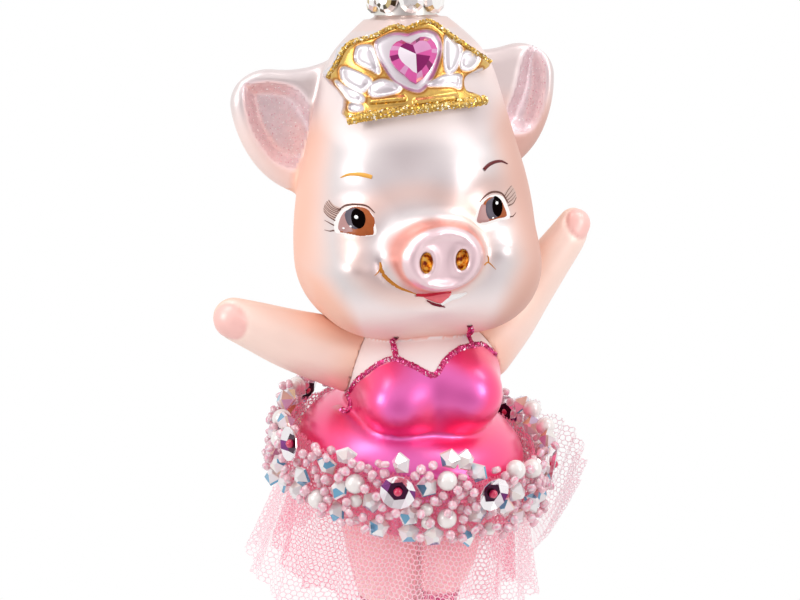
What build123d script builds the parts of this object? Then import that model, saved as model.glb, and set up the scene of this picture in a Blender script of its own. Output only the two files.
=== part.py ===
from build123d import *
import os
from math import atan2, cos, degrees, radians, sin, sqrt, tan

os.makedirs("parts", exist_ok=True)

# Hanging pig ballerina of blown glass, in millimetres.
# The origin is the centre of the wire hanging eye, +Z is up and the pig faces -Y.

# Glass
glass_wall = 1.0
glue_gap = 0.25

# Wire hanger: eye, two straight legs through the cap, spread tips inside the glass neck
wire_radius = 0.45
eye_inner_radius = 3.0
leg_half_spacing = 1.2
eye_fillet_radius = 1.5
hanger_travel = 4.0
leg_spread_radius = 3.0
leg_spread_angle = 25
leg_tip_length = 5.6

# Metal cap and its ring of stones
cap_radius = 6.3
cap_sheet = 0.4
cap_drop = 0.9
cap_shoulder_gap = 0.5
wire_hole_clearance = 0.3
cap_neck_clearance = 0.15
stone_count = 8
stone_sides = 12
stone_radius = 2.62
stone_back_radius = 1.9
stone_table_radius = 1.5
stone_height = 2.0
stone_girdle = 0.8
seat_gap = 0.2

# Glass neck under the cap
neck_length = 15.0
neck_wall = 1.0

# Head, drawn out above into the neck flare
head_radius = 24.6
head_half_height = 32.2
head_flare_drop = 10.9
head_roll = -2.5
crown_roll = -3
head_outline_shares = [(0, -1), (0.59, -0.916), (1.0, -0.466), (0.907, 0.093), (0.72, 0.62), (0.54, 0.86),
                       (0.335, 1)]

# Cheeks and snout, placed from the middle of the head form
cheek_radius = 10.0
cheek_spacing = 11.5
cheek_forward = 13.6
cheek_drop_share = 0.547
snout_half_width = 8.0
snout_half_height = 6.3
snout_flange = 2.1
snout_front = 29.6
snout_disc = 3.6
snout_root = 12.0
snout_taper = 10
snout_drop_share = 0.307
snout_droop = 5
snout_shift = -4.0
snout_yaw = 8
nostril_half_width = 1.2
nostril_half_height = 1.85
nostril_depth = 0.5
nostril_half_spacing = 3.6

# Ears, placed from the middle of the head form
ear_reach = 34.0
ear_top_share = 0.764
ear_root_share = 0.38
ear_first_slope = 0.18
ear_outline_shares = [(0.55, -0.10), (0.90, 0.24), (1.0, 0.70), (0.93, 0.92), (0.72, 0.99), (0.38, 1.02)]
ear_thickness = 5.2
ear_rim = 2.3
ear_bowl_depth = 3.2
ear_back = 10.0

# Body of the figure: bodice and skirt share one leaning axis through the skirt rim's centre
rim_shift = 1.6
rim_drop = 21.2
body_lean = 6.5
body_pitch = 10
bodice_radius = 15.9
bodice_top = 27.0
bodice_bottom = -3.0
bodice_outline_shares = [(0, -1), (0.72, -0.78), (0.955, -0.38), (1.0, 0.08), (0.80, 0.66), (0, 1)]
bust_radius = 7.2
bust_half_spacing = 7.0
bust_forward = 10.6
bust_rise = 12.8
rim_radius = 23.3
skirt_top = 8.2
skirt_bottom = -20.2
skirt_outline_shares = [(0, -1), (0.56, -0.56), (0.93, 0.06), (1.0, 0.38), (0.955, 0.56), (0.68, 0.86), (0, 1)]

# Arms and legs: centre lines with radii, from the root to the tip, with heights from the skirt's rim
right_arm_route = [(-9, 0, 16.5, 7.3), (-16, -0.5, 19, 6.9), (-24, -1, 21.7, 6.0), (-31, -1.6, 24.6, 4.9),
                   (-35.6, -2, 26.5, 4.0), (-38.6, -2.2, 27.7, 2.3)]
left_arm_route = [(17, 4, 17.5, 7.0), (22, 4.6, 23, 6.4), (27, 5, 29, 5.3), (31.5, 5, 35, 4.6),
                  (35.2, 5, 39.9, 4.0), (37.3, 5, 43.6, 3.4), (38.4, 5, 45.9, 2.1)]
right_leg_route = [(-5.4, 3, -9.5, 8.8), (-4.4, 3, -16.5, 8.6), (-3.6, 3, -23.5, 8.1), (-2.6, 3, -30.5, 7.4),
                   (-1.2, 3, -35.5, 6.1), (0.5, 3, -41.5, 3.8), (1.2, 2.8, -45.5, 2.9), (1.3, 2.5, -49.5, 3.3),
                   (1.4, 2, -54, 2.8), (1.4, 1.6, -57.9, 1.3)]
left_leg_route = [(9.9, -4, -10.5, 6.4), (9.2, -4.6, -16.5, 6.2), (8.2, -5, -23.5, 5.6), (6.5, -5, -30.5, 3.9),
                  (6.4, -5, -35, 2.8), (6.6, -5.4, -38.5, 3.1), (6.9, -6, -43, 2.7),
                  (7.1, -6.4, -47.1, 1.3)]
slipper_glitter = 0.45
slipper_gap = 0.1
slipper_sections = 3

# Tiara: a block behind a leaning front face, with raised ribs round its panes
tiara_half_width = 17.5
tiara_height = 18.0
tiara_base_rise_share = 0.416
tiara_base_radius = 21.4
tiara_lean = 16
tiara_rib = 0.7
tiara_outline_shares = [(-0.82, 0.02), (-0.81, 0.27), (-0.93, 0.50), (-0.83, 0.63), (-0.69, 0.83),
                        (-0.45, 0.89), (-0.21, 0.97), (-0.08, 0.94), (0.17, 0.99), (0.34, 0.87),
                        (0.59, 0.67), (0.87, 0.48), (0.73, 0.42), (0.51, 0.37), (0.49, 0.23), (0.59, 0.18),
                        (0.71, 0.07)]
tiara_pane_shares = [[(-0.63, 0.79), (-0.50, 0.81), (-0.45, 0.53), (-0.65, 0.64)],
                     [(-0.78, 0.60), (-0.55, 0.46), (-0.62, 0.36), (-0.79, 0.44)],
                     [(-0.56, 0.38), (-0.44, 0.44), (-0.25, 0.36), (-0.55, 0.29)],
                     [(0.33, 0.82), (0.43, 0.79), (0.51, 0.67), (0.39, 0.48), (0.26, 0.48)],
                     [(0.51, 0.63), (0.69, 0.61), (0.57, 0.46), (0.43, 0.49)],
                     [(0.07, 0.35), (0.26, 0.42), (0.45, 0.41), (0.43, 0.27)]]
heart_centre_shares = (-0.05, 0.66)
heart_pane_margin = 0.9
heart_width = 9.6
heart_height = 10.2
heart_thickness = 3.0
heart_taper = 28
heart_seat = 0.25
glitter_thickness = 0.6
tiara_glitter_height = 1.9
tiara_edge_glitter = 0.8
tiara_edge_start_share = 0.5
tiara_foot_shares = [(-0.83, 0.02), (0.71, 0.07)]

# Glitter line along the neckline and the two straps, as places across and up the bust
shoulder_roll = -12
glitter_lift = 0.15
neckline_width = 1.2
neckline_shares = [(-0.95, 0.08), (-0.88, 0.28), (-0.67, 0.50), (-0.446, 0.596), (-0.223, 0.52), (-0.006, 0.417),
                   (0.16, 0.54), (0.38, 0.60), (0.587, 0.574), (0.77, 0.487), (0.92, 0.30)]
strap_shares = [(-0.43, 0.59), (0.585, 0.57)]
strap_length = 4.6

# Tutu: gathered heading band, two hanging layers of tulle and a standing side ruffle.
# Each ring of a layer is its radius, its height from the rim and the depth of its waves.
band_top = 3.3
band_bottom = -10.8
band_radius = 26.3
band_bulge = 0.4
band_thickness = 0.7
tulle_thickness = 0.5
tulle_slit_angle = 2
outer_folds = 18
outer_rings = [(24.4, 1.0, 0.2), (24.45, -10.5, 0.35), (29.3, -32.0, 1.7)]
inner_folds = 14
inner_rings = [(23.3, -4.2, 0.12), (22.9, -10.5, 0.3), (24.4, -28.5, 1.3)]
ruffle_start = -35
ruffle_sweep = 130
ruffle_folds = 8
ruffle_rings = [(28.2, -18.5, 0.1), (31.2, -12.5, 0.5), (34.3, 0.5, 0.9)]

# Bead trim on the heading band
bead_gap = 0.15
bead_columns = 48
bead_rows = 4
bead_row_pitch = 3.8
bead_top_row = 2.1
bead_shift_share = 0.5
# Every second cell is large; of five large kinds two are pearls, one a small pearl and two crystals
bead_mix = 5
bead_mix_column_step = 7
bead_mix_row_step = 3
small_pearl_kind = 2
pearl_radius = 2.0
small_pearl_radius = 1.5
seed_radius = 0.95
crystal_radius = 2.0
crystal_height = 1.7
crystal_taper = 24
crystal_sides = 5
sequin_count = 8
sequin_radius = 3.5
sequin_sheet = 0.35
sequin_sides = 6
sequin_row_height = -3.5
sequin_first_angle = -96
sequin_hole_radius = 0.5
sequin_lift = 2 * seed_radius + 2 * bead_gap

# Frames that several pieces share
eye_centre_radius = eye_inner_radius + wire_radius
fillet_x = leg_half_spacing + eye_fillet_radius
fillet_z = -sqrt((eye_centre_radius + eye_fillet_radius) ** 2 - fillet_x ** 2)
cap_top = -eye_centre_radius - cap_drop
cap_height = head_flare_drop + cap_top - cap_shoulder_gap
neck_radius = cap_radius - cap_sheet - cap_neck_clearance
neck_bore_radius = neck_radius - neck_wall
neck_top = cap_top - cap_sheet - cap_neck_clearance
leg_straight_bottom = cap_top - cap_sheet - hanger_travel - cap_sheet

head_bottom = -head_flare_drop - 2 * head_half_height
rim_height = head_bottom - rim_drop
snout_drop = snout_drop_share * head_half_height
cheek_drop = cheek_drop_share * head_half_height
ear_top = ear_top_share * head_half_height
tiara_base_rise = tiara_base_rise_share * head_half_height
head_pivot = Location((0, 0, -head_flare_drop), (0, head_roll, 0))
head_frame = head_pivot * Location((0, 0, -head_half_height))
crown_frame = head_frame * Location((0, 0, 0), (0, crown_roll, 0))
body_frame = Location((rim_shift, 0, rim_height), (body_pitch, body_lean, 0))
bust_frame = body_frame * Location((0, 0, bust_rise), (0, shoulder_roll, 0))


# A lathe form of half height 1 between its poles, whose outline is a chain of tangent arcs.
def lathe_form(shares, radius, half_height):
    points = [(share[0] * radius, share[1] * half_height) for share in shares]
    with BuildPart(mode=Mode.PRIVATE) as form:
        with BuildSketch(Plane.XZ):
            with BuildLine():
                heading = Vector(1, 0)
                for start, end in zip(points, points[1:]):
                    arc = TangentArc(start, end, tangent=heading)
                    heading = arc % 1
                Polyline(list(dict.fromkeys([points[-1], (0, half_height), points[0]])))
            make_face()
        revolve(axis=Axis.Z)
    return form.part


# The same form with its surface moved out by grow, or in where grow is negative.
def grown(form, radius, grow, place):
    return place * scale(form, by=(radius + grow) / radius, mode=Mode.PRIVATE)


def half_height(top, bottom):
    return (top - bottom) / 2


def middle(top, bottom):
    return Location((0, 0, (top + bottom) / 2))


plain_head = lathe_form(head_outline_shares, head_radius, head_half_height)
plain_bodice = lathe_form(bodice_outline_shares, bodice_radius, half_height(bodice_top, bodice_bottom))
plain_skirt = lathe_form(skirt_outline_shares, rim_radius, half_height(skirt_top, skirt_bottom))


def head_form(grow):
    return grown(plain_head, head_radius, grow, head_frame)


def bodice_form(grow):
    return grown(plain_bodice, bodice_radius, grow, body_frame * middle(bodice_top, bodice_bottom))


def skirt_form(grow):
    return grown(plain_skirt, rim_radius, grow, body_frame * middle(skirt_top, skirt_bottom))


def cheek_places():
    return [head_frame * Location((side * cheek_spacing, -cheek_forward, -cheek_drop)) for side in (-1, 1)]


def bust_places():
    return [bust_frame * Location((side * bust_half_spacing, -bust_forward, 0)) for side in (-1, 1)]


snout_place = head_frame * Location((snout_shift, 0, -snout_drop), (0, 0, snout_yaw)) \
    * Location((0, 0, 0), (90 + snout_droop, 0, 0))


def snout_form(grow):
    disc_back = snout_front - snout_disc
    with BuildPart(mode=Mode.PRIVATE) as form:
        with BuildSketch(Plane.XY.offset(disc_back + grow)):
            Ellipse(snout_half_width + snout_flange + grow, snout_half_height + snout_flange + grow)
        extrude(amount=-(disc_back - snout_root), taper=-snout_taper)
        with BuildSketch(Plane.XY.offset(disc_back)):
            Ellipse(snout_half_width + grow, snout_half_height + grow)
        extrude(amount=snout_disc + grow)
    return snout_place * form.part


def ear_form(side):
    points = [(share[0] * ear_reach, share[1] * ear_top) for share in ear_outline_shares]
    root = (ear_root_share * ear_reach, 0)
    with BuildPart(mode=Mode.PRIVATE) as form:
        with BuildSketch(Plane.XZ.offset(-ear_back)):
            with BuildLine():
                heading = Vector(1, ear_first_slope)
                for start, end in zip(points, points[1:]):
                    arc = TangentArc(start, end, tangent=heading)
                    heading = arc % 1
                Polyline(points[-1], root, points[0])
            outline = make_face()
        extrude(amount=ear_thickness / 2, both=True)
        with BuildSketch(Plane.XZ.offset(ear_thickness / 2 - ear_back)):
            offset(outline, amount=-ear_rim)
        extrude(amount=-ear_bowl_depth, mode=Mode.SUBTRACT)
    return crown_frame * (form.part if side > 0 else mirror(form.part, about=Plane.YZ, mode=Mode.PRIVATE))


# The blown shell: head, ears, snout, neck, bodice and skirt in one wall of glass
neck_place = Location((0, 0, neck_top - neck_length / 2))
with BuildPart() as glass_body:
    add(head_form(0))
    add(bodice_form(0))
    add(skirt_form(0))
    add(snout_form(0))
    for side in (-1, 1):
        add(ear_form(side))
    with Locations(*cheek_places()):
        Sphere(cheek_radius)
    with Locations(*bust_places()):
        Sphere(bust_radius)
    with Locations(neck_place):
        Cylinder(neck_radius, neck_length)
    add(head_form(-glass_wall), mode=Mode.SUBTRACT)
    add(bodice_form(-glass_wall), mode=Mode.SUBTRACT)
    add(skirt_form(-glass_wall), mode=Mode.SUBTRACT)
    add(snout_form(-glass_wall), mode=Mode.SUBTRACT)
    with Locations(*cheek_places()):
        Sphere(cheek_radius - glass_wall, mode=Mode.SUBTRACT)
    with Locations(*bust_places()):
        Sphere(bust_radius - glass_wall, mode=Mode.SUBTRACT)
    with Locations(neck_place):
        Cylinder(neck_bore_radius, neck_length, mode=Mode.SUBTRACT)
    for side in (-1, 1):
        with Locations(snout_place * Location((side * nostril_half_spacing, 0, snout_front))):
            Cylinder(nostril_half_width, 2 * nostril_depth, mode=Mode.SUBTRACT)
glass_body.part.label = "glass_body"
export_step(glass_body.part, "parts/glass_body.step")


# Arms and legs: separate blown tubes, open at the root and glued against the shell
def limb_form(route, grow):
    places = [Vector(x, y, rim_height + z) for x, y, z, radius in route]
    with BuildPart(mode=Mode.PRIVATE) as form:
        for index, section in enumerate(route):
            along = places[min(index + 1, len(route) - 1)] - places[max(index - 1, 0)]
            side = along.cross(Vector(0, 1, 0))
            with BuildSketch(Plane(origin=places[index], x_dir=side, z_dir=along)):
                Circle(section[3] + grow)
        loft()
    return form.part


# The bore of a limb stops one section short of the tip and runs out through the root.
def limb_bore(route):
    x, y, z, radius = route[0]
    reach = (Vector(x, y, z) - Vector(*route[1][:3])).normalized() * glass_wall
    root = (x + reach.X, y + reach.Y, z + reach.Z, radius)
    return limb_form([root] + route[1:-1], -glass_wall)


def limb(name, route):
    with BuildPart() as piece:
        add(limb_form(route, 0))
        add(limb_bore(route), mode=Mode.SUBTRACT)
        for form in (head_form, bodice_form, skirt_form):
            add(form(glue_gap), mode=Mode.SUBTRACT)
        with Locations(*bust_places()):
            Sphere(bust_radius + glue_gap, mode=Mode.SUBTRACT)
    whole = piece.part.solids().sort_by(SortBy.VOLUME)[-1]
    whole.label = name
    export_step(whole, f"parts/{name}.step")
    return whole


right_arm = limb("right_arm", right_arm_route)
left_arm = limb("left_arm", left_arm_route)
right_leg = limb("right_leg", right_leg_route)
left_leg = limb("left_leg", left_leg_route)


# Glitter lacquer over the feet, one coat for each slipper
with BuildPart() as slipper_glitter_coat:
    for route in (right_leg_route, left_leg_route):
        foot = route[-slipper_sections:]
        x, y, z, radius = foot[-1]
        add(limb_form(foot[:-1] + [(x, y, z - slipper_glitter, radius)], slipper_glitter))
    for route in (right_leg_route, left_leg_route):
        add(limb_form(route, slipper_gap), mode=Mode.SUBTRACT)
slipper_glitter_coat.part.label = "slipper_glitter"
export_step(slipper_glitter_coat.part, "parts/slipper_glitter.step")


# Metal cap over the glass neck, with two holes for the wire
with BuildPart() as neck_cap:
    with Locations((0, 0, cap_top - cap_height / 2)):
        Cylinder(cap_radius, cap_height)
    fillet(neck_cap.faces().sort_by(Axis.Z)[-1].edges(), cap_sheet)
    with Locations((0, 0, cap_top - cap_sheet - cap_height / 2)):
        Cylinder(cap_radius - cap_sheet, cap_height, mode=Mode.SUBTRACT)
    with Locations((-leg_half_spacing, 0, cap_top), (leg_half_spacing, 0, cap_top)):
        Cylinder(wire_radius + wire_hole_clearance, cap_height, mode=Mode.SUBTRACT)
neck_cap.part.label = "neck_cap"
export_step(neck_cap.part, "parts/neck_cap.step")


# Ring of faceted stones round the cap
with BuildPart() as cap_rhinestones:
    for index in range(stone_count):
        turn = Location((0, 0, cap_top - cap_height / 2), (0, 0, index * 360 / stone_count - 90))
        back = Plane(turn * Location((cap_radius + seat_gap, 0, 0), (0, 90, 0)))
        girdle = back.offset(stone_girdle)
        with BuildSketch(back):
            RegularPolygon(stone_back_radius, stone_sides)
        with BuildSketch(girdle):
            RegularPolygon(stone_radius, stone_sides)
        loft(ruled=True)
        with BuildSketch(girdle):
            RegularPolygon(stone_radius, stone_sides)
        with BuildSketch(back.offset(stone_height)):
            RegularPolygon(stone_table_radius, stone_sides)
        loft(ruled=True)
cap_rhinestones.part.label = "cap_rhinestones"
export_step(cap_rhinestones.part, "parts/cap_rhinestones.step")


# Wire hanger: one wire from tip to tip through the eye
touch_angle = degrees(atan2(fillet_z, fillet_x))
with BuildPart() as hanger_loop:
    with BuildLine(Plane.XZ) as hanger_line:
        Line((leg_half_spacing, fillet_z), (leg_half_spacing, leg_straight_bottom))
        CenterArc((fillet_x, fillet_z), eye_fillet_radius, 180, touch_angle)
        CenterArc((leg_half_spacing + leg_spread_radius, leg_straight_bottom), leg_spread_radius,
                  180, leg_spread_angle)
        spread_end = (leg_half_spacing + leg_spread_radius * (1 - cos(radians(leg_spread_angle))),
                      leg_straight_bottom - leg_spread_radius * sin(radians(leg_spread_angle)))
        PolarLine(spread_end, leg_tip_length, leg_spread_angle - 90)
        mirror(about=Plane.YZ)
        CenterArc((0, 0), eye_centre_radius, touch_angle, 180 - 2 * touch_angle)
    path = hanger_line.wires()[0]
    with BuildSketch(Plane(origin=path @ 0, z_dir=path % 0)):
        Circle(wire_radius)
    sweep(path=path)
hanger_loop.part.label = "hanger_loop"
export_step(hanger_loop.part, "parts/hanger_loop.step")


# Tiara
def tiara_points(shares):
    return [(across * tiara_half_width, tiara_base_rise + up * tiara_height) for across, up in shares]


def tiara_cone(grow):
    drop = tiara_height * tan(radians(tiara_lean))
    with BuildPart(mode=Mode.PRIVATE) as form:
        with Locations((0, 0, tiara_base_rise + tiara_height / 2)):
            Cone(tiara_base_radius + grow + drop, tiara_base_radius + grow - 2 * drop, 3 * tiara_height)
    return form.part


def forward_prism(outline):
    with BuildPart(mode=Mode.PRIVATE) as form:
        with BuildSketch(Plane.XZ):
            add(outline)
        extrude(amount=2 * tiara_base_radius)
    return form.part


with BuildSketch(mode=Mode.PRIVATE) as tiara_outline:
    with BuildLine():
        Polyline(tiara_points(tiara_outline_shares), close=True)
    make_face()
with BuildSketch(mode=Mode.PRIVATE) as pane_outlines:
    for shares in tiara_pane_shares:
        with BuildLine():
            Polyline(tiara_points(shares), close=True)
        make_face()
heart_centre = tiara_points([heart_centre_shares])[0]
lobe_radius = heart_width / (2 + sqrt(2))

# Heart: two round lobes over a square standing on its corner
with BuildSketch(mode=Mode.PRIVATE) as heart_outline:
    with Locations((-lobe_radius / sqrt(2), 0), (lobe_radius / sqrt(2), 0)):
        Circle(lobe_radius)
    with Locations((0, -lobe_radius / sqrt(2))):
        Rectangle(2 * lobe_radius, 2 * lobe_radius, rotation=45)


def heart_face(margin):
    with BuildSketch(mode=Mode.PRIVATE) as face:
        with Locations(heart_centre):
            add(heart_outline.sketch)
        if margin:
            offset(amount=margin)
    return face.sketch


panes = forward_prism(pane_outlines.sketch) + forward_prism(heart_face(heart_pane_margin))
with BuildPart() as tiara:
    add(crown_frame * (forward_prism(tiara_outline.sketch) & tiara_cone(tiara_rib)))
    add(crown_frame * (panes - tiara_cone(0)), mode=Mode.SUBTRACT)
    add(head_form(seat_gap), mode=Mode.SUBTRACT)
tiara.part.label = "tiara"
export_step(tiara.part, "parts/tiara.step")


# Heart crystal in its pane, leaning with the front of the tiara
heart_radius = tiara_base_radius - (heart_centre[1] - tiara_base_rise) * tan(radians(tiara_lean))
heart_front = -sqrt(heart_radius ** 2 - heart_centre[0] ** 2)
heart_turn = degrees(atan2(heart_centre[0], -heart_front))
heart_place = crown_frame * Location((heart_centre[0], heart_front, heart_centre[1]), (0, 0, heart_turn)) \
    * Location((0, -heart_seat, 0), (90 - tiara_lean, 0, 0))
with BuildPart() as heart_crystal:
    with BuildSketch(Plane(heart_place)):
        add(heart_outline.sketch)
    extrude(amount=heart_thickness, taper=heart_taper)
heart_crystal.part.label = "heart_crystal"
export_step(heart_crystal.part, "parts/heart_crystal.step")


# Gold glitter along the tiara's foot and over its upper edge
with BuildSketch(mode=Mode.PRIVATE) as foot_strip:
    with BuildLine():
        foot_left, foot_right = tiara_points(tiara_foot_shares)
        Polyline(foot_left, foot_right, (foot_right[0], foot_right[1] + tiara_glitter_height),
                 (foot_left[0], foot_left[1] + tiara_glitter_height), close=True)
    make_face()
with BuildSketch(mode=Mode.PRIVATE) as edge_strip:
    add(tiara_outline.sketch)
    offset(amount=tiara_edge_glitter + seat_gap)
    with BuildSketch(mode=Mode.PRIVATE) as edge_inner:
        add(tiara_outline.sketch)
        offset(amount=seat_gap)
    add(edge_inner.sketch, mode=Mode.SUBTRACT)
    with Locations((0, tiara_base_rise + (1 + tiara_edge_start_share) * tiara_height)):
        Rectangle(4 * tiara_half_width, tiara_height, mode=Mode.INTERSECT)
with BuildPart() as tiara_glitter:
    foot = forward_prism(foot_strip.sketch) & tiara_cone(tiara_rib + seat_gap + glitter_thickness)
    add(crown_frame * (foot - tiara_cone(tiara_rib + seat_gap)))
    edge = forward_prism(edge_strip.sketch) & tiara_cone(tiara_rib)
    add(crown_frame * (edge - tiara_cone(-2 * tiara_rib)))
    add(head_form(seat_gap), mode=Mode.SUBTRACT)
tiara_glitter.part.label = "tiara_glitter"
export_step(tiara_glitter.part, "parts/tiara_glitter.step")


# Pink glitter line along the neckline, with its two straps
def bust_points(shares):
    return [(across * bodice_radius, up * bodice_radius) for across, up in shares]


with BuildSketch(mode=Mode.PRIVATE) as neckline_strip:
    with BuildLine() as neckline:
        Polyline(bust_points(neckline_shares))
        for foot in bust_points(strap_shares):
            Line(foot, (foot[0], foot[1] + strap_length))
    trace(neckline.line, line_width=neckline_width)
with BuildPart(mode=Mode.PRIVATE) as neckline_prism:
    with BuildSketch(Plane.XZ):
        add(neckline_strip.sketch)
    extrude(amount=2 * bodice_radius)
with BuildPart() as neckline_glitter:
    add(bodice_form(glitter_lift + glitter_thickness))
    with Locations(*bust_places()):
        Sphere(bust_radius + glitter_lift + glitter_thickness)
    add(bust_frame * neckline_prism.part, mode=Mode.INTERSECT)
    add(bodice_form(glitter_lift), mode=Mode.SUBTRACT)
    with Locations(*bust_places()):
        Sphere(bust_radius + glitter_lift, mode=Mode.SUBTRACT)
    add(head_form(seat_gap), mode=Mode.SUBTRACT)
neckline_glitter.part.label = "neckline_glitter"
export_step(neckline_glitter.part, "parts/neckline_glitter.step")


# Gathered heading band that the trim is sewn to
band_middle = (band_top + band_bottom) / 2
with BuildPart() as tutu_band:
    with BuildSketch(Plane(body_frame * Location((0, 0, 0), (90, 0, 0)))):
        with BuildLine():
            outer = ThreePointArc((band_radius - band_bulge, band_top), (band_radius, band_middle),
                                  (band_radius - band_bulge, band_bottom))
            inner_radius = band_radius - band_thickness
            inner = ThreePointArc((inner_radius - band_bulge, band_top), (inner_radius, band_middle),
                                  (inner_radius - band_bulge, band_bottom))
            Line(outer @ 0, inner @ 0)
            Line(outer @ 1, inner @ 1)
        make_face()
    revolve(axis=Axis.Z.located(body_frame))
tutu_band.part.label = "tutu_band"
export_step(tutu_band.part, "parts/tutu_band.step")


# A gathered strip of tulle: each ring of it is a chain of arcs that wave out and in
def polar(radius, angle):
    return (radius * cos(radians(angle)), radius * sin(radians(angle)))


def wave_edge(radius, wave, start, sweep, folds):
    step = sweep / (2 * folds)
    for index in range(2 * folds):
        angle = start + index * step
        bulge = wave if index % 2 == 0 else -wave
        ThreePointArc(polar(radius, angle), polar(radius + bulge, angle + step / 2), polar(radius, angle + step))


def tulle_strip(name, rings, start, sweep, folds):
    with BuildPart() as strip:
        for radius, height, wave in rings:
            with BuildSketch(Plane(body_frame).offset(height)):
                with BuildLine():
                    wave_edge(radius + tulle_thickness / 2, wave, start, sweep, folds)
                    wave_edge(radius - tulle_thickness / 2, wave, start, sweep, folds)
                    for angle in (start, start + sweep):
                        Line(polar(radius - tulle_thickness / 2, angle), polar(radius + tulle_thickness / 2, angle))
                make_face()
        loft(ruled=True)
    strip.part.label = name
    export_step(strip.part, f"parts/{name}.step")
    return strip.part


back = 90 + tulle_slit_angle / 2
tulle_outer = tulle_strip("tulle_outer", outer_rings, back, 360 - tulle_slit_angle, outer_folds)
tulle_inner = tulle_strip("tulle_inner", inner_rings, back, 360 - tulle_slit_angle, inner_folds)
tulle_ruffle = tulle_strip("tulle_ruffle", ruffle_rings, ruffle_start, ruffle_sweep, ruffle_folds)


# Bead trim: a staggered grid of pearls, crystals and seed beads round the band, under large sequins
def band_surface(height):
    share = (height - band_middle) / (band_top - band_middle)
    return band_radius - band_bulge * share * share


def trim_place(angle, height, lift):
    turn = body_frame * Location((0, 0, 0), (0, 0, angle))
    return turn * Location((band_surface(height) + bead_gap + lift, 0, height), (0, 90, 0))


sequin_angles = [sequin_first_angle + index * 360 / sequin_count for index in range(sequin_count)]


def under_sequin(angle, height):
    for centre in sequin_angles:
        apart = (angle - centre + 180) % 360 - 180
        across = radians(apart) * band_radius
        if sqrt(across ** 2 + (height - sequin_row_height) ** 2) < sequin_radius + pearl_radius:
            return True
    return False


cells = []
for row in range(bead_rows):
    for column in range(bead_columns):
        angle = (column + bead_shift_share) * 360 / bead_columns
        height = bead_top_row - row * bead_row_pitch
        large = (row + column) % 2 == 0 and not under_sequin(angle, height)
        kind = (bead_mix_column_step * column + bead_mix_row_step * row) % bead_mix
        cells.append((angle, height, large, kind))

pearls = [(angle, height) for angle, height, large, kind in cells if large and kind < small_pearl_kind]
small_pearls = [(angle, height) for angle, height, large, kind in cells if large and kind == small_pearl_kind]
crystals = [(angle, height) for angle, height, large, kind in cells if large and kind > small_pearl_kind]
seeds = [(angle, height + side * seed_radius) for angle, height, large, kind in cells if not large
         for side in (-1, 1)]


def round_beads(name, places, radius):
    with BuildPart() as beads:
        with Locations(*[trim_place(angle, height, radius) for angle, height in places]):
            Sphere(radius)
    beads.part.label = name
    export_step(beads.part, f"parts/{name}.step")
    return beads.part


pearls_large = round_beads("pearls_large", pearls, pearl_radius)
pearls_small = round_beads("pearls_small", small_pearls, small_pearl_radius)
seed_beads = round_beads("seed_beads", seeds, seed_radius)

with BuildPart() as crystal_beads:
    for angle, height in crystals:
        with BuildSketch(Plane(trim_place(angle, height, 0))):
            RegularPolygon(crystal_radius, crystal_sides, rotation=angle)
    extrude(amount=crystal_height, taper=crystal_taper)
crystal_beads.part.label = "crystal_beads"
export_step(crystal_beads.part, "parts/crystal_beads.step")

with BuildPart() as sequins:
    for angle in sequin_angles:
        with BuildSketch(Plane(trim_place(angle, sequin_row_height, sequin_lift))):
            RegularPolygon(sequin_radius, sequin_sides)
            Circle(sequin_hole_radius, mode=Mode.SUBTRACT)
    extrude(amount=sequin_sheet)
sequins.part.label = "sequins"
export_step(sequins.part, "parts/sequins.step")

with BuildPart() as sequin_beads:
    lift = sequin_lift + sequin_sheet + bead_gap + seed_radius
    with Locations(*[trim_place(angle, sequin_row_height, lift) for angle in sequin_angles]):
        Sphere(seed_radius)
sequin_beads.part.label = "sequin_beads"
export_step(sequin_beads.part, "parts/sequin_beads.step")
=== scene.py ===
import random
from math import atan2, cos, degrees, pi, radians, sin, sqrt, tan

import bpy
import numpy as np
from mathutils import Matrix, Vector
from mathutils.bvhtree import BVHTree


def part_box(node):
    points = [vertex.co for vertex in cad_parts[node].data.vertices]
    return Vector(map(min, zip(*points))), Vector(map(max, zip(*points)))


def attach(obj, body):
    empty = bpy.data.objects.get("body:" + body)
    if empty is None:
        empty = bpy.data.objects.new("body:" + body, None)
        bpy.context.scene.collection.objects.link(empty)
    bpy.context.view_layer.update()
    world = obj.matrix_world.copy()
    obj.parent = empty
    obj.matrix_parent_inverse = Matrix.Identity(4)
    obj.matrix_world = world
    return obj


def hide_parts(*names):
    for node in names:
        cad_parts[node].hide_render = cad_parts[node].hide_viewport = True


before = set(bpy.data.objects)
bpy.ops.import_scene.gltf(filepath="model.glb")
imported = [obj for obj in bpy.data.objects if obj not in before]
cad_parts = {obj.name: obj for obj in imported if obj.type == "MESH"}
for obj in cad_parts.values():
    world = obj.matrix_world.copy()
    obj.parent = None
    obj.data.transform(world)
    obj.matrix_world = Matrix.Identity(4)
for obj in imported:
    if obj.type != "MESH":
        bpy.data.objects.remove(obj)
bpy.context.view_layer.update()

# Hanging pig ballerina of blown glass. Shapes are worked out in millimetres and written in metres.
mm = 0.001
figure = "figure"

# Camera, at the photograph's angle
camera_azimuth = -11
camera_elevation = 9
camera_distance = 385
camera_lens = 85
camera_near = 0.01
camera_target = (-1.04, 0, -67.8)

# Head, with the same lathe outline as its solid
head_radius = 24.6
head_half_height = 32.2
head_flare_drop = 10.9
head_roll = -2.5
head_outline = [
    (0, -1), (0.59, -0.916), (1.0, -0.466), (0.907, 0.093), (0.72, 0.62), (0.54, 0.86), (0.335, 1)]
cheek_radius = 10.0
cheek_spacing = 11.5
cheek_forward = 13.6
cheek_drop = 17.6
cheek_blend = 7.0

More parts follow.
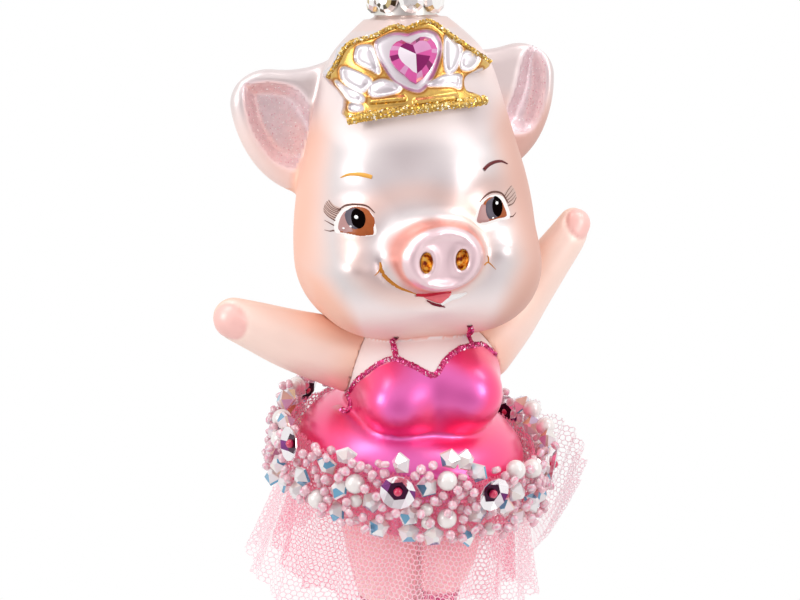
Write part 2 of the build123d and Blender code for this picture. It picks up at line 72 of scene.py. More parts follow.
# Snout, measured from the middle of the head
snout_drop = 10.3
snout_shift = -4.0
snout_yaw = 8
snout_droop = 5
snout_front = 29.6
snout_root = 13.0
snout_half_width = 8.0
snout_half_height = 6.3
snout_flare_width = 4.0
snout_flare_height = 2.0
snout_rim_height = 0.9
snout_rim_share = 0.84
snout_rim_width = 0.13
snout_edge = 2.1
snout_root_edge = 1.0
snout_blend = 2.5
nostril_half_spacing = 3.6
nostril_drop = 0.2
nostril_half_width = 1.25
nostril_half_height = 2.0
nostril_lip = 0.55
nostril_depth = 1.5

# Small relief of the face, as places across and up from the middle of the head
eye_centres = [(-15.0, -5.2), (11.3, -4.6)]
eye_half_width = 4.3
eye_half_height = 3.6
socket_depth = 0.12
socket_reach = 1.3
socket_width = 0.4
eye_bulge = 0.5
eye_bulge_reach = 0.75
brow_bulges = [(-15.0, 4.4, 5.4, 4.4, 0.9), (12.6, 4.2, 4.6, 3.2, 0.6), (5.4, 3.6, 6.2, 6.0, 0.9)]
cheek_bulges = [(-17.4, -14.0, 3.7, 3.6, 1.8), (13.2, -12.4, 4.4, 3.6, 1.6), (-0.5, -23.2, 3.4, 1.8, 0.7)]
forehead_dips = [(-4.8, 4.0, 4.2, 6.0, 0.7), (-11.0, -9.5, 3.0, 2.6, 0.5)]
smile_depth = 0.5
smile_width = 0.7
relief_fade = (4, 10)

# Ears, measured from the middle of the head
crown_roll = -3
ear_reach = 34.0
ear_top = 24.6
ear_outline = [(0.55, -0.10), (0.90, 0.24), (1.0, 0.70), (0.93, 0.92), (0.72, 0.99), (0.38, 1.02)]
ear_first_slope = 0.18
ear_root_share = 0.3
ear_thickness = 5.2
ear_back = 10.0
ear_face_edge = 1.5
ear_rim_edge = 3.2
ear_blend = 2.2
ear_bowl_depth = 3.0
ear_bowl_width = 3.4
ear_bowls = [
    [(-31.4, 21.4), (-29.4, 22.5), (-24.2, 22.0), (-19.8, 19.9), (-16.6, 14.2), (-14.8, 9.5), (-17.0, 5.5),
     (-19.6, 3.1), (-24.0, 3.9), (-27.9, 7.0), (-31.0, 13.7)],
    [(25.2, 5.6), (21.2, 6.8), (22.6, 11.4), (24.8, 15.7), (26.2, 20.1), (28.0, 23.2), (30.6, 23.9),
     (32.0, 21.6), (32.2, 16.9), (31.0, 11.4), (28.6, 6.8)]]

# Body
rim_place = (1.6, 0, -96.5)
body_lean = 6.5
body_pitch = 10
shoulder_roll = -12
bodice_radius = 15.9
bodice_top = 27.0
bodice_bottom = -3.0
bodice_outline = [(0, -1), (0.72, -0.78), (0.955, -0.38), (1.0, 0.08), (0.80, 0.66), (0, 1)]
bust_radius = 7.2
bust_half_spacing = 7.0
bust_forward = 10.6
bust_rise = 12.8
rim_radius = 23.3
skirt_top = 8.2
skirt_bottom = -20.2
skirt_outline = [(0, -1), (0.56, -0.56), (0.93, 0.06), (1.0, 0.38), (0.955, 0.56), (0.68, 0.86), (0, 1)]
neck_radius = 5.75
neck_top = -6.0
neck_bottom = -30.0
bust_blend = 3.0
waist_blend = 1.2
neck_blend = 2.0
throat_blend = 1.0

# Arms and legs: centre lines with radii, from the root to the tip
right_arm_route = [
    (-9, 0, -80, 7.3), (-16, -0.5, -77.5, 6.9), (-24, -1, -74.8, 6.0), (-31, -1.6, -71.9, 4.9),
    (-35.2, -2, -70.2, 4.2)]
left_arm_route = [
    (17, 4, -79, 7.0), (22, 4.6, -73.5, 6.4), (27, 5, -67.5, 5.3), (31.5, 5, -61.5, 4.6),
    (35.2, 5, -56.6, 4.0), (37.0, 5, -53.6, 3.4)]
right_leg_route = [
    (-5.4, 3, -106, 8.8), (-4.4, 3, -113, 8.6), (-3.6, 3, -120, 8.1), (-2.6, 3, -127, 7.4),
    (-1.2, 3, -132, 6.1), (0.5, 3, -138, 3.8), (1.2, 2.8, -142, 2.9), (1.3, 2.5, -146, 3.3),
    (1.4, 2, -150.5, 2.8), (1.4, 1.7, -153.2, 1.5)]
left_leg_route = [
    (9.9, -4, -107, 6.4), (9.2, -4.6, -113, 6.2), (8.2, -5, -120, 5.6), (6.5, -5, -127, 3.9),
    (6.4, -5, -131.5, 2.8), (6.6, -5.4, -135, 3.1), (6.9, -6, -139.5, 2.7), (7.1, -6.3, -142.4, 1.5)]

# Steps of the surface nets
skin_step = 0.6
limb_step = 0.55
tiara_step = 0.28
settle_reach = 0.05
least_slope = 0.05
most_settled = 0.6

# Arms, legs and slippers
limb_gap = 0.03
right_pad = (-37.0, -5.2, -70.6)
left_pad = (38.5, 1.5, -52.5)
pad_radius = 4.1
pad_groove = 0.22
pad_groove_width = 0.45
pad_edge = 0.8
limb_root_edge = 0.15
slipper_edge = 0.4
# Orange-brown on the limbs near the shell and where they turn away from the front: painted shade
seam_shade_reach = (-7, 0)
seam_shade_share = 0.5
limb_side_shade_reach = (0.45, 1.0)
limb_side_shade_share = 0.6
right_slipper_top = -130.5
left_slipper_top = -127.4
slipper_gap = 0.12

# Neckline and straps, as places across and up the bust
neckline = [
    (-17.2, -3.2), (-15.9, -0.5), (-14.0, 4.5), (-10.7, 8.0), (-7.1, 9.5), (-3.55, 8.3), (-0.1, 6.6),
    (2.6, 8.6), (6.0, 9.6), (9.3, 9.1), (12.3, 7.75), (15.1, 4.4)]
straps = [[(-6.7, 9.5), (-6.7, 12.0), (-6.67, 14.4)], [(9.3, 9.1), (8.6, 12.6), (7.6, 16.0)]]
neckline_back = 4.4
neckline_width = 1.15
side_depth = 4.0
# The way toward the room: the leotard turns violet where it faces this way, a painted reflection of the
# darker room in its lacquer
reflection_way = (-0.19, -0.97, 0.15)
waist_height = 6.5

# Sprayed colours of the shell, with painted shade and a painted reflection among them: where each begins and
# is full, by places from the middle of the head
neckline_edge = 0.5
reflection_facing = (0.76, 0.97)
reflection_level = (0.84, 0.99)
reflection_share = 0.9
head_width_steps = [(-1, 0.5), (-0.47, 1), (0.09, 0.9), (0.62, 0.72), (1, 0.3)]
side_right = (0.78, 1.02)
side_left = (0.50, 0.92)
side_top = (9, 18)
side_share = 0.85
chin_fade = (21, 31)
chin_share = 0.55
chin_line = (28.0, 31.4)
chin_line_share = 0.75
crown_start = 30
crown_share = 0.25
snout_ring_radius = 10
snout_ring_stretch = 1.2
snout_ring_width = 4.0
snout_ring_share = 0.35
matt_chin = (17, 24)
matt_forehead = (7, 12)
matt_forehead_end = (24, 29)
matt_forehead_share = 0.85
matt_torso = 0.95
leotard_limit = -60
ear_share = 0.9
ear_blush_loss = 0.7
barrel_share = 0.95
barrel_reach = 16
disc_depths = (1.9, 1.1)
shadow_limit = 0.7
shadow_side = 0.8
pad_share = 0.85

# Face paint, as places across and up from the middle of the head
left_lid = [
    (-18.8, -7.5), (-18.6, -5.2), (-17.3, -3.5), (-15.6, -2.75), (-13.6, -2.85), (-12.1, -4.0),
    (-11.75, -5.6), (-11.8, -7.95), (-15.0, -8.2), (-17.6, -7.85)]
left_eye = [
    (-18.4, -7.4), (-17.9, -5.1), (-16.8, -3.4), (-15.0, -2.7), (-13.0, -3.1), (-11.85, -4.7), (-11.8, -6.4),
    (-11.95, -7.9), (-13.4, -8.15), (-15.0, -8.15), (-17.4, -7.75)]
left_mauve = [(-18.2, -7.4), (-17.8, -5.1), (-16.7, -3.5), (-15.7, -3.8), (-16.2, -5.8), (-15.7, -7.6)]
left_iris = [
    (-16.9, -3.7), (-15.0, -2.85), (-13.6, -3.5), (-13.4, -5.0), (-14.0, -6.5), (-15.3, -7.1), (-16.4, -6.6),
    (-17.0, -5.3)]
left_pupil = [
    (-14.8, -2.9), (-13.5, -3.6), (-13.2, -5.0), (-13.7, -6.4), (-14.8, -7.0), (-15.8, -6.3), (-16.0, -4.7),
    (-15.6, -3.4)]
right_lid = [
    (7.5, -6.8), (7.6, -5.3), (8.8, -3.4), (10.4, -2.25), (12.0, -1.9), (13.9, -2.5), (14.8, -4.1),
    (15.2, -6.6), (12.5, -6.9), (9.6, -7.4)]
right_eye = [
    (7.7, -6.8), (7.9, -5.3), (9.0, -3.4), (10.5, -2.3), (12.0, -2.1), (13.5, -2.7), (14.3, -4.3),
    (14.7, -6.4), (12.2, -6.7), (9.2, -7.1)]
right_mauve = [(7.8, -6.8), (8.0, -5.3), (8.9, -3.5), (9.9, -3.5), (9.9, -5.5), (10.4, -6.9)]
right_iris = [
    (9.8, -3.0), (11.3, -2.3), (12.6, -2.3), (13.5, -3.4), (13.5, -4.8), (12.6, -6.1), (11.2, -6.6),
    (9.9, -6.4), (9.3, -4.8)]
right_pupil = [
    (12.4, -2.2), (13.5, -3.2), (13.6, -4.7), (12.8, -6.1), (11.7, -6.3), (10.9, -5.2), (10.9, -3.5),
    (11.5, -2.4)]
ray_start = 60
eye_highlights = [
    (-14.9, -4.7, 0.46), (-16.0, -6.4, 0.24), (-17.2, -6.8, 0.22), (12.1, -3.6, 0.42), (11.0, -6.2, 0.22)]
left_eye_line = [(-17.9, -3.6), (-16.6, -2.6), (-14.9, -2.3), (-12.9, -2.6), (-11.6, -3.9)]
right_eye_line = [(8.6, -3.0), (10.2, -1.8), (11.9, -1.4), (13.9, -2.0), (15.0, -3.8)]
lash_fans = [
    [(-17.4, -3.3), (-18.4, -2.6), (-19.2, -1.8), (-20.0, -3.0), (-20.1, -4.2), (-18.8, -5.3)],
    [(14.2, -2.4), (15.4, -1.4), (16.5, -0.9), (17.5, -2.2), (17.4, -3.6), (15.6, -4.6)]]
# Grey spots on the forehead and cheek that dim bright reflections of the pearl: painted shade
painted_shade_spots = [
    (10.0, 14.0, 5.0, 5.5, 0.65), (-11.0, 15.0, 4.0, 4.0, 0.3), (-12.8, -13.0, 2.8, 2.8, 0.6),
    (-4.8, 4.8, 4.5, 4.5, 0.3)]
# Brown round the eyes: painted shade by the eye sockets, not make-up
eye_shade_spots = [(-15.2, -2.6, 4.2, 2.2, 0.3), (11.2, -0.8, 4.6, 3.2, 0.6), (6.9, -5.0, 1.7, 3.4, 0.6)]
lashes = [
    [(-17.4, -3.4), (-18.5, -2.9), (-19.2, -1.7)], [(-17.8, -3.9), (-18.9, -3.4), (-19.7, -2.3)],
    [(-17.6, -3.6), (-18.8, -3.1), (-19.5, -2.0)], [(-18.0, -4.2), (-19.1, -3.7), (-19.9, -2.7)],
    [(-18.2, -4.6), (-19.2, -4.0), (-20.0, -3.0)], [(-18.5, -5.5), (-19.6, -4.7), (-20.1, -3.9)],
    [(-18.4, -5.0), (-19.4, -4.4), (-20.1, -3.4)], [(-18.8, -6.4), (-19.5, -6.0), (-20.2, -5.6)],
    [(14.6, -3.0), (15.9, -2.2), (16.9, -1.5)], [(15.0, -3.9), (16.3, -3.5), (17.4, -2.8)],
    [(-18.9, -7.3), (-19.6, -7.5), (-20.4, -7.4)], [(14.4, -2.6), (15.5, -1.6), (16.5, -0.9)],
    [(14.8, -3.5), (16.2, -2.9), (17.3, -2.2)], [(15.1, -4.4), (16.5, -4.2), (17.5, -3.3)],
    [(15.1, -6.5), (16.0, -6.5), (16.8, -6.0)]]
gold_brow = [(-17.0, 2.7), (-15.7, 3.3), (-14.0, 3.4), (-12.5, 3.1), (-11.6, 2.8)]
dark_brow = [(10.0, 3.0), (11.2, 3.8), (12.8, 4.2), (14.5, 4.1), (15.9, 3.4)]
smile = [(-11.5, -13.0), (-11.3, -14.8), (-10.2, -16.4), (-8.4, -17.9), (-6.6, -18.8), (-4.8, -19.6)]
smile_corners = [
    [(-11.5, -13.9), (-12.0, -14.8), (-12.8, -15.4)], [(8.3, -14.7), (9.2, -14.3), (10.7, -15.8)],
    [(9.2, -14.4), (9.2, -13.4), (9.0, -12.9)]]
tongue = [(-3.6, -20.0), (-0.8, -19.5), (1.7, -19.9), (1.6, -21.2), (0.1, -21.9), (-1.9, -21.2)]
lip = [(-5.0, -19.8), (-2.4, -19.8), (0.1, -19.4), (1.8, -19.5)]
lower_lip = [(-2.8, -21.0), (-1.6, -21.8), (-0.2, -22.3), (0.8, -22.6)]
lip_highlight = [(0.1, -22.1), (1.6, -21.0), (3.5, -20.6), (5.0, -20.0)]

# Tiara, as places across and up from its foot
tiara_base_rise = 13.4
tiara_base_radius = 21.4
tiara_lean = 16
tiara_rib = 0.95
heart_tray = 0.3
relief_step = 0.12
rib_softness = 0.22
pillow_softness = 0.45
tiara_back = 0.3
tiara_seat = 0.1
pane_pillow = 0.95
bar_height = 0.9
bar_width = 0.6
bar_end = 1.0
tiara_rim_edge = 0.7
tiara_seat_edge = 0.3
# A dark brown line just outside the panes: painted shade in the creases beside the ribs
crease_shade_place = 0.55
crease_shade_width = 0.22
base_bars = [(-7.2, 3.4, 4.35), (1.9, 4.2, 3.5)]
tiara_outline = [
    (-14.4, 1.2), (-14.2, 4.9), (-16.3, 9.0), (-14.6, 11.4), (-12.1, 15.0), (-7.8, 16.0), (-3.7, 17.5),
    (-1.4, 16.9), (2.9, 17.9), (5.9, 15.6), (10.4, 12.0), (15.3, 8.7), (12.8, 7.5), (8.9, 6.9), (8.6, 4.6),
    (10.6, 3.6), (12.4, 2.1), (4.0, 1.4), (-5.0, 1.0)]
tiara_panes = [
    [(-11.0, 14.3), (-10.4, 14.6), (-8.7, 14.5), (-8.3, 13.6), (-7.8, 9.6), (-9.1, 10.3), (-11.1, 11.6),
     (-11.5, 12.6)],
    [(-13.6, 10.8), (-9.6, 8.3), (-10.4, 6.9), (-11.4, 6.3), (-13.8, 8.0), (-14.3, 9.5)],
    [(-9.8, 6.9), (-8.6, 7.8), (-6.9, 7.9), (-4.4, 6.4), (-5.6, 5.6), (-9.6, 5.3)],
    [(5.8, 14.7), (7.6, 14.2), (8.9, 12.1), (6.9, 8.7), (4.9, 8.6)],
    [(9.3, 11.5), (12.1, 10.9), (12.6, 9.8), (10.4, 8.3), (8.2, 8.8)],
    [(0.8, 6.3), (2.5, 7.0), (4.5, 7.6), (7.6, 7.4), (7.7, 6.4), (7.2, 5.1), (5.4, 5.8)],
    [(-15.4, 8.4), (-14.2, 7.3), (-11.6, 5.7), (-11.5, 4.4), (-13.6, 4.8), (-14.4, 6.2)],
    [(9.0, 6.2), (9.6, 7.0), (12.9, 7.9), (11.0, 6.4), (10.1, 4.6), (9.3, 4.8)],
    [(-13.7, 2.9), (-13.5, 4.0), (-12.0, 3.7), (-11.8, 2.9)]]
heart_pane = [
    (-7.6, 14.9), (-6.2, 15.8), (-3.9, 16.4), (-1.8, 16.0), (-1.5, 15.9), (0.7, 16.3), (2.7, 16.2),
    (4.2, 15.2), (4.6, 13.2), (3.9, 11.1), (2.3, 8.3), (0.1, 5.9), (-1.3, 5.4), (-3.4, 6.3), (-5.3, 7.8),
    (-6.6, 10.3), (-7.5, 12.7)]
tiara_foot = [(-14.4, 1.1), (-9.1, 1.8), (-1.8, 2.1), (4.1, 2.3), (12.4, 2.1)]
tiara_foot_width = 1.9
tiara_edge_routes = [
    [(-14.9, 11.2), (-12.2, 15.1), (-7.8, 16.2), (-3.7, 17.7), (-1.4, 17.1), (2.9, 18.1), (5.9, 15.9)],
    [(5.9, 15.9), (10.4, 12.4), (15.3, 8.9)], [(-16.4, 9.1), (-14.9, 11.2)]]
tiara_edge_width = 1.1
heart_centre = (-0.9, 11.0)
heart_height = 2.4
heart_table_rise = 0.25
heart_table_shift = (0.2, -0.2)
heart_outline = [
    (-1.2, 6.4), (-3.2, 8.3), (-4.8, 10.0), (-5.6, 12.2), (-4.8, 14.2), (-2.9, 15.1), (-1.2, 14.3),
    (0.7, 15.3), (2.7, 14.8), (3.7, 12.7), (3.1, 10.8), (1.6, 8.6)]
heart_levels = [(1.0, 0.15), (1.0, 0.9), (0.7, heart_height)]
# Facet colours of the heart stone: painted highlight and painted shade on its pink
heart_crown_light_tones = [2, 2, 1, 2, 2, 3, 2, 1]
heart_table_light_tones = [0, 0, 0, 0, 3, 3, 1, 1, 1, 2, 3, 3]

# Flakes of glitter
flake_sides = 5
flake_turns = (1.0, 1.0, 4.0)
flake_sizes = (0.6, 1.25)

# Belt of beads. A bead's place is its angle round the body and its height from the rim
band_top = 3.3
band_bottom = -10.8
band_radius = 25.9
band_bulge = 0.4
bead_gap = 0.15
bead_turns = (0.3, 0.3, 1.0)
belt_seed = 11
belt_low = -9.6
belt_high = 3.3
belt_top_extra = 1.2
seed_outline = [(0.35, -0.62), (0.85, -0.5), (1.0, 0), (0.85, 0.5), (0.35, 0.62)]
crystal_outline = [(0.2, -0.8), (1.0, -0.12), (0.92, 0.1), (0.3, 0.66)]
facet_order = [0.05, 0.65, 0.2, 0.4, 0.1, 0.85, 0.3, 0.74, 0.5, 0.15, 0.95, 0.25, 0.55, 0.64, 0.08, 0.35]
sequin_order = [0.7, 0.7, 0.4, 0.7, 0.7, 0.7]
sequin_wall = 0.06
bead_sizes = {"pearl": 2.0, "small": 1.35, "seed": 1.0, "crystal": 2.3, "sequin": 3.5, "centre": 0.9}
bead_seat = {"pearl": 1.0, "small": 1.0, "seed": 1.0, "crystal": 0.6, "sequin": 0.95, "centre": 4.1}
chosen_beads = [
    (-106.8, 0.0, "sequin"), (-106.8, 0.0, "centre"), (-69.1, 0.4, "sequin"), (-69.1, 0.4, "centre"),
    (-158.0, 1.4, "sequin"), (-158.0, 1.4, "centre"), (-22.0, 0.5, "sequin"), (-22.0, 0.5, "centre"),
    (35.0, 0.4, "sequin"), (35.0, 0.4, "centre"), (80.0, -1.0, "sequin"), (80.0, -1.0, "centre"),
    (130.0, 0.2, "sequin"), (130.0, 0.2, "centre"), (-179.0, 2.4, "pearl"), (-140.8, -7.2, "pearl"),
    (-123.6, -4.8, "small"), (-88.0, 2.6, "pearl"), (-85.8, -5.2, "pearl"), (-93.1, -6.6, "small"),
    (-54.9, 3.6, "pearl"), (-42.5, 2.4, "pearl"), (-87.6, 6.6, "crystal"), (-80.5, 6.5, "crystal"),
    (-101.0, -5.4, "crystal"), (-72.1, -4.6, "crystal"), (-112.5, -9.0, "crystal"),
    (-131.7, -8.4, "crystal"), (-131.5, 3.4, "crystal"), (-117.0, -4.2, "crystal"), (-95.6, 1.0, "crystal"),
    (-100.0, -9.2, "crystal")]
bead_rounds = [
    ("pearl", 26, 0.98, (0, 0.4)), ("crystal", 240, 0.80, (0, 1.2)), ("small", 60, 0.95, (0, 0.3)),
    ("seed", 5200, 0.90, (0, 2.8))]

# Tulle. Each ring of a layer is its radius, its height from the rim and the depth of its folds
outer_rings = [
    (24.4, 1.0, 0.2), (24.7, -6.0, 0.3), (25.6, -12.0, 0.6), (27.2, -21.0, 1.1), (29.3, -31.5, 1.7)]
inner_rings = [(23.3, -4.2, 0.12), (23.0, -10.5, 0.3), (23.6, -19.0, 0.8), (24.6, -28.0, 1.3)]
ruffle_rings = [(28.2, -18.5, 0.15), (31.2, -12.5, 0.6), (33.4, -5.0, 0.9), (34.9, 2.0, 1.2)]
front_angle = 273
front_width = 26
cloth_rows = 26
fold_columns = 10
fold_turns = (-0.5, 0.5)
fold_sizes = (0.6, 1.25)
fold_lean = 2.5
fold_shift = 0.02
small_fold_depth = 0.3
small_fold_rate = 2.3
heading_rings = [(24.9, 1.8, 0.3), (25.6, -0.4, 0.3), (25.9, -5.0, 0.3), (25.4, -10.8, 0.4)]
net_wave_scale = 0.25
net_wave_depth = 1.4
net_repeat = 200
net_translucency = 0.45

# Cap and its stones
cap_radius = 6.3
stone_count = 8
stone_first_angle = -90
stone_radius = 2.62
stone_gap = 0.2
stone_height = -7.4
stone_sides = 12
stone_seed = 4
# The tone for white facets of the cap stones: painted glints
glint_tone = 0.1
glint_share = 0.5
stone_outline = [(1.0, -0.15), (1.0, 0.12), (0.72, 0.42), (0.38, 0.5)]

# Light
light_target = (0, 0, -0.07)
soft_boxes = [
    ("box_left", (-0.70, -0.26, 0.14), 0.22, 0.30, 1.7), ("box_right", (0.50, -0.56, 0.17), 0.24, 0.34, 1.6),
    ("strip_left", (-0.30, -0.10, 0.52), 0.16, 0.5, 1.2),
    ("strip_right", (0.34, -0.10, 0.50), 0.16, 0.5, 1.2)]
flag_cards = [
    ("flag_front", (-0.06, -0.74, -0.08), 1.6, 1.05, 0.50), ("flag_top", (0.0, -0.05, 0.62), 0.5, 0.9, 0.40)]
flag_tint = (1.0, 0.93, 0.97)
flag_fade = (0.1, 1.0)
world_light = 0.72
floor_height = -170
floor_radius = 0.13
floor_solid_radius = 0.01
floor_sides = 64
floor_fade_share = 0.95
floor_roughness = 0.9


# Frames
def turned(x=0, y=0, z=0):
    turns = [Matrix.Rotation(radians(angle), 4, axis) for angle, axis in ((x, "X"), (y, "Y"), (z, "Z"))]
    return turns[0] @ turns[1] @ turns[2]


def moved(x, y, z):
    return Matrix.Translation((x, y, z))


head_frame = moved(0, 0, -head_flare_drop) @ turned(y=head_roll) @ moved(0, 0, -head_half_height)
snout_frame = head_frame @ moved(snout_shift, 0, -snout_drop) @ turned(z=snout_yaw)
snout_frame = snout_frame @ turned(x=90 + snout_droop)
crown_frame = head_frame @ turned(y=crown_roll)
body_frame = moved(*rim_place) @ turned(body_pitch, body_lean)
body_turn = turned(body_pitch, body_lean)
bust_frame = body_frame @ moved(0, 0, bust_rise) @ turned(y=shoulder_roll)
bodice_frame = body_frame @ moved(0, 0, (bodice_top + bodice_bottom) / 2)
skirt_frame = body_frame @ moved(0, 0, (skirt_top + skirt_bottom) / 2)


def inside(points, place):
    turn = np.array(place.to_3x3())
    return (points - np.array(place.translation)) @ turn


def outside(points, place):
    turn = np.array(place.to_3x3())
    return np.asarray(points, float) @ turn.T + np.array(place.translation)


# Fields: the distance of points from a form, less than nothing inside it
def smooth_join(a, b, width):
    mix = np.clip(0.5 + 0.5 * (b - a) / width, 0, 1)
    return b + (a - b) * mix - width * mix * (1 - mix)


def smooth_cut(a, b, width):
    return -smooth_join(-a, -b, width)


def ball(points, centre, radius):
    return np.linalg.norm(points - np.array(centre), axis=1) - radius


def oval(x, y, half_width, half_height):
    reach = np.hypot(x / half_width, y / half_height)
    slope = np.hypot(x / half_width ** 2, y / half_height ** 2)
    return reach * (reach - 1) / np.maximum(slope, 1e-6)


def fade(value, low, high):
    share = np.clip((value - low) / (high - low), 0, 1)
    return share * share * (3 - 2 * share)


# A chain of arcs through the points, each leaving along the one before
def arc_chain(points, heading, steps=10):
    line = [np.array(points[0], float)]
    heading = np.array(heading, float) / np.hypot(*heading)
    for end in points[1:]:
        chord = np.array(end, float) - line[-1]
        start, length = line[-1], np.hypot(*chord)
        half = atan2(heading[0] * chord[1] - heading[1] * chord[0], heading @ chord)
        for step in range(1, steps + 1):
            part = 2 * half * step / steps
            if abs(half) < 1e-4:
                line.append(start + chord * step / steps)
                continue
            radius = length / (2 * sin(half))
            side = np.array([-heading[1], heading[0]])
            line.append(start + heading * radius * sin(part) + side * radius * (1 - cos(part)))
        heading = np.array([heading[0] * cos(2 * half) - heading[1] * sin(2 * half),
                            heading[0] * sin(2 * half) + heading[1] * cos(2 * half)])
    return np.array(line)


# The points of a smooth curve from start to end, led by the points on either side
def curve_part(before, start, end, after, steps):
    shares = [step / steps for step in range(steps)]
    return [0.5 * (2 * start + (end - before) * t + (2 * before - 5 * start + 4 * end - after) * t ** 2
                   + (3 * start - before - 3 * end + after) * t ** 3) for t in shares]


def closed_curve(points, steps=5):
    points = np.array(points, float)
    count = len(points)
    line = []
    for i in range(count):
        line += curve_part(*[points[(i + k) % count] for k in (-1, 0, 1, 2)], steps)
    return np.array(line)


def open_curve(points, steps):
    points = np.array(points, float)
    last = len(points) - 1
    line = []
    for i in range(last):
        line += curve_part(points[max(i - 1, 0)], points[i], points[i + 1], points[min(i + 2, last)], steps)
    return np.array([*line, points[last]])


def outline_distance(points, outline):
    best = np.full(len(points), 1e9)
    inner = np.zeros(len(points), bool)
    for start, end in zip(outline, np.roll(outline, -1, axis=0)):
        along = end - start
        if along @ along < 1e-12:
            continue
        share = np.clip((points - start) @ along / (along @ along), 0, 1)
        best = np.minimum(best, np.hypot(*(points - start - share[:, None] * along).T))
        crosses = (start[1] > points[:, 1]) != (end[1] > points[:, 1])
        with np.errstate(divide="ignore", invalid="ignore"):
            at = start[0] + (points[:, 1] - start[1]) / along[1] * along[0]
        inner ^= crosses & (points[:, 0] < at)
    return np.where(inner, -best, best)


# A table of distances round an outline, read between its places
class Table:
    def __init__(self, outline, step=0.25, margin=12):
        self.step = step
        self.low = outline.min(0) - margin
        self.count = ((outline.max(0) + margin - self.low) / step).astype(int) + 2
        x, y = self.grid()
        self.value = outline_distance(np.stack([x.ravel(), y.ravel()], 1), outline).reshape(self.count)

    def grid(self):
        axes = [self.low[i] + self.step * np.arange(self.count[i]) for i in (0, 1)]
        return np.meshgrid(*axes, indexing="ij")

    def __call__(self, x, y):
        last = np.array(self.value.shape) - 1.001
        u = np.clip((x - self.low[0]) / self.step, 0, last[0])
        v = np.clip((y - self.low[1]) / self.step, 0, last[1])
        i, j = u.astype(int), v.astype(int)
        u, v = u - i, v - j
        value = self.value
        near = (value[i, j] * (1 - u) + value[i + 1, j] * u) * (1 - v) \
            + (value[i, j + 1] * (1 - u) + value[i + 1, j + 1] * u) * v
        beyond = np.hypot(x - np.clip(x, self.low[0], None), y - np.clip(y, self.low[1], None))
        return near + beyond


def lathe_table(shares, radius, half_height):
    points = [(across * radius, up * half_height) for across, up in shares]
    line = arc_chain(points, (1, 0))
    axis_top = [(0, half_height)] if line[-1][0] > 1e-6 else []
    mirrored = line[::-1] * np.array([-1, 1])
    return Table(np.vstack([line, *[np.array([point]) for point in axis_top], mirrored]))


head_table = lathe_table(head_outline, head_radius, head_half_height)
bodice_table = lathe_table(bodice_outline, bodice_radius, (bodice_top - bodice_bottom) / 2)
skirt_table = lathe_table(skirt_outline, rim_radius, (skirt_top - skirt_bottom) / 2)
ear_points = [(across * ear_reach, up * ear_top) for across, up in ear_outline]
ear_root = ear_root_share * ear_reach
ear_line = arc_chain(ear_points, (1, ear_first_slope))
ear_table = Table(np.vstack([ear_line, [(ear_root, ear_top)], [(ear_root, 0)]]))
bowl_tables = [Table(closed_curve(bowl, 4)) for bowl in ear_bowls]


def lathe(points, table, place):
    local = inside(points, place)
    return table(np.hypot(local[:, 0], local[:, 1]), local[:, 2])


def bowl_distance(local):
    return np.minimum(*[table(local[:, 0], local[:, 2]) for table in bowl_tables])


def ear_field(local):
    edge = ear_table(np.abs(local[:, 0]), local[:, 2])
    depth = local[:, 1] - ear_back
    bowl = ear_bowl_depth * fade(-bowl_distance(local), -0.5, ear_bowl_width)
    front = -depth - ear_thickness / 2 + bowl
    rear = depth - ear_thickness / 2
    slab = smooth_cut(front, rear, ear_face_edge)
    return smooth_cut(edge, slab, ear_rim_edge)


def snout_field(points):
    local = inside(points, snout_frame)
    x, y, z = local.T
    back = np.clip((snout_front - z) / (snout_front - snout_root), 0, 1)
    side = oval(x, y, snout_half_width + snout_flare_width * back,
                snout_half_height + snout_flare_height * back)
    side = smooth_cut(side, snout_root - z, snout_root_edge)
    reach = np.hypot(x / snout_half_width, y / snout_half_height)
    rim = snout_rim_height * np.exp(-((reach - snout_rim_share) / snout_rim_width) ** 2)
    face = snout_front - snout_rim_height + rim
    for turn in (-1, 1):
        hole = oval(x - turn * nostril_half_spacing, y + nostril_drop, nostril_half_width,
                    nostril_half_height)
        face = face + nostril_lip * np.exp(-((hole - 0.55) / 0.7) ** 2)
        face = face - nostril_depth * fade(-hole, -0.25, 0.75)
    return smooth_cut(side, z - face, snout_edge)


def mound(across, up, centre_across, centre_up, half_width, half_height):
    return np.exp(-((across - centre_across) / half_width) ** 2 - ((up - centre_up) / half_height) ** 2)


def face_relief(local):
    across, up = local[:, 0], local[:, 2]
    relief = np.zeros(len(local))
    for centre_across, centre_up in eye_centres:
        reach = np.hypot((across - centre_across) / eye_half_width, (up - centre_up) / eye_half_height)
        swell = eye_bulge * np.exp(-(reach / eye_bulge_reach) ** 2)
        relief += socket_depth * np.exp(-((reach - socket_reach) / socket_width) ** 2) - swell
    for *bulge, height in brow_bulges + cheek_bulges:
        relief -= height * mound(across, up, *bulge)
    for *dip, depth in forehead_dips:
        relief += depth * mound(across, up, *dip)
    near = np.full(len(local), 1e9)
    for start, end in zip(smile[:-1], smile[1:]):
        start, along = np.array(start), np.array(end) - np.array(start)
        place = np.stack([across, up], 1) - start
        share = np.clip(place @ along / (along @ along), 0, 1)
        near = np.minimum(near, np.hypot(*(place - share[:, None] * along).T))
    relief += smile_depth * np.exp(-(near / smile_width) ** 2)
    return relief * fade(-local[:, 1], *relief_fade)


def head_core(points):
    local = inside(points, head_frame)
    field = head_table(np.hypot(local[:, 0], local[:, 1]), local[:, 2])
    for side in (-1, 1):
        cheek = ball(local, (side * cheek_spacing, -cheek_forward, -cheek_drop), cheek_radius)
        field = smooth_join(field, cheek, cheek_blend)
    return field + face_relief(local)


def head_field(points):
    field = smooth_join(head_core(points), snout_field(points), snout_blend)
    return smooth_join(field, ear_field(inside(points, crown_frame)), ear_blend)


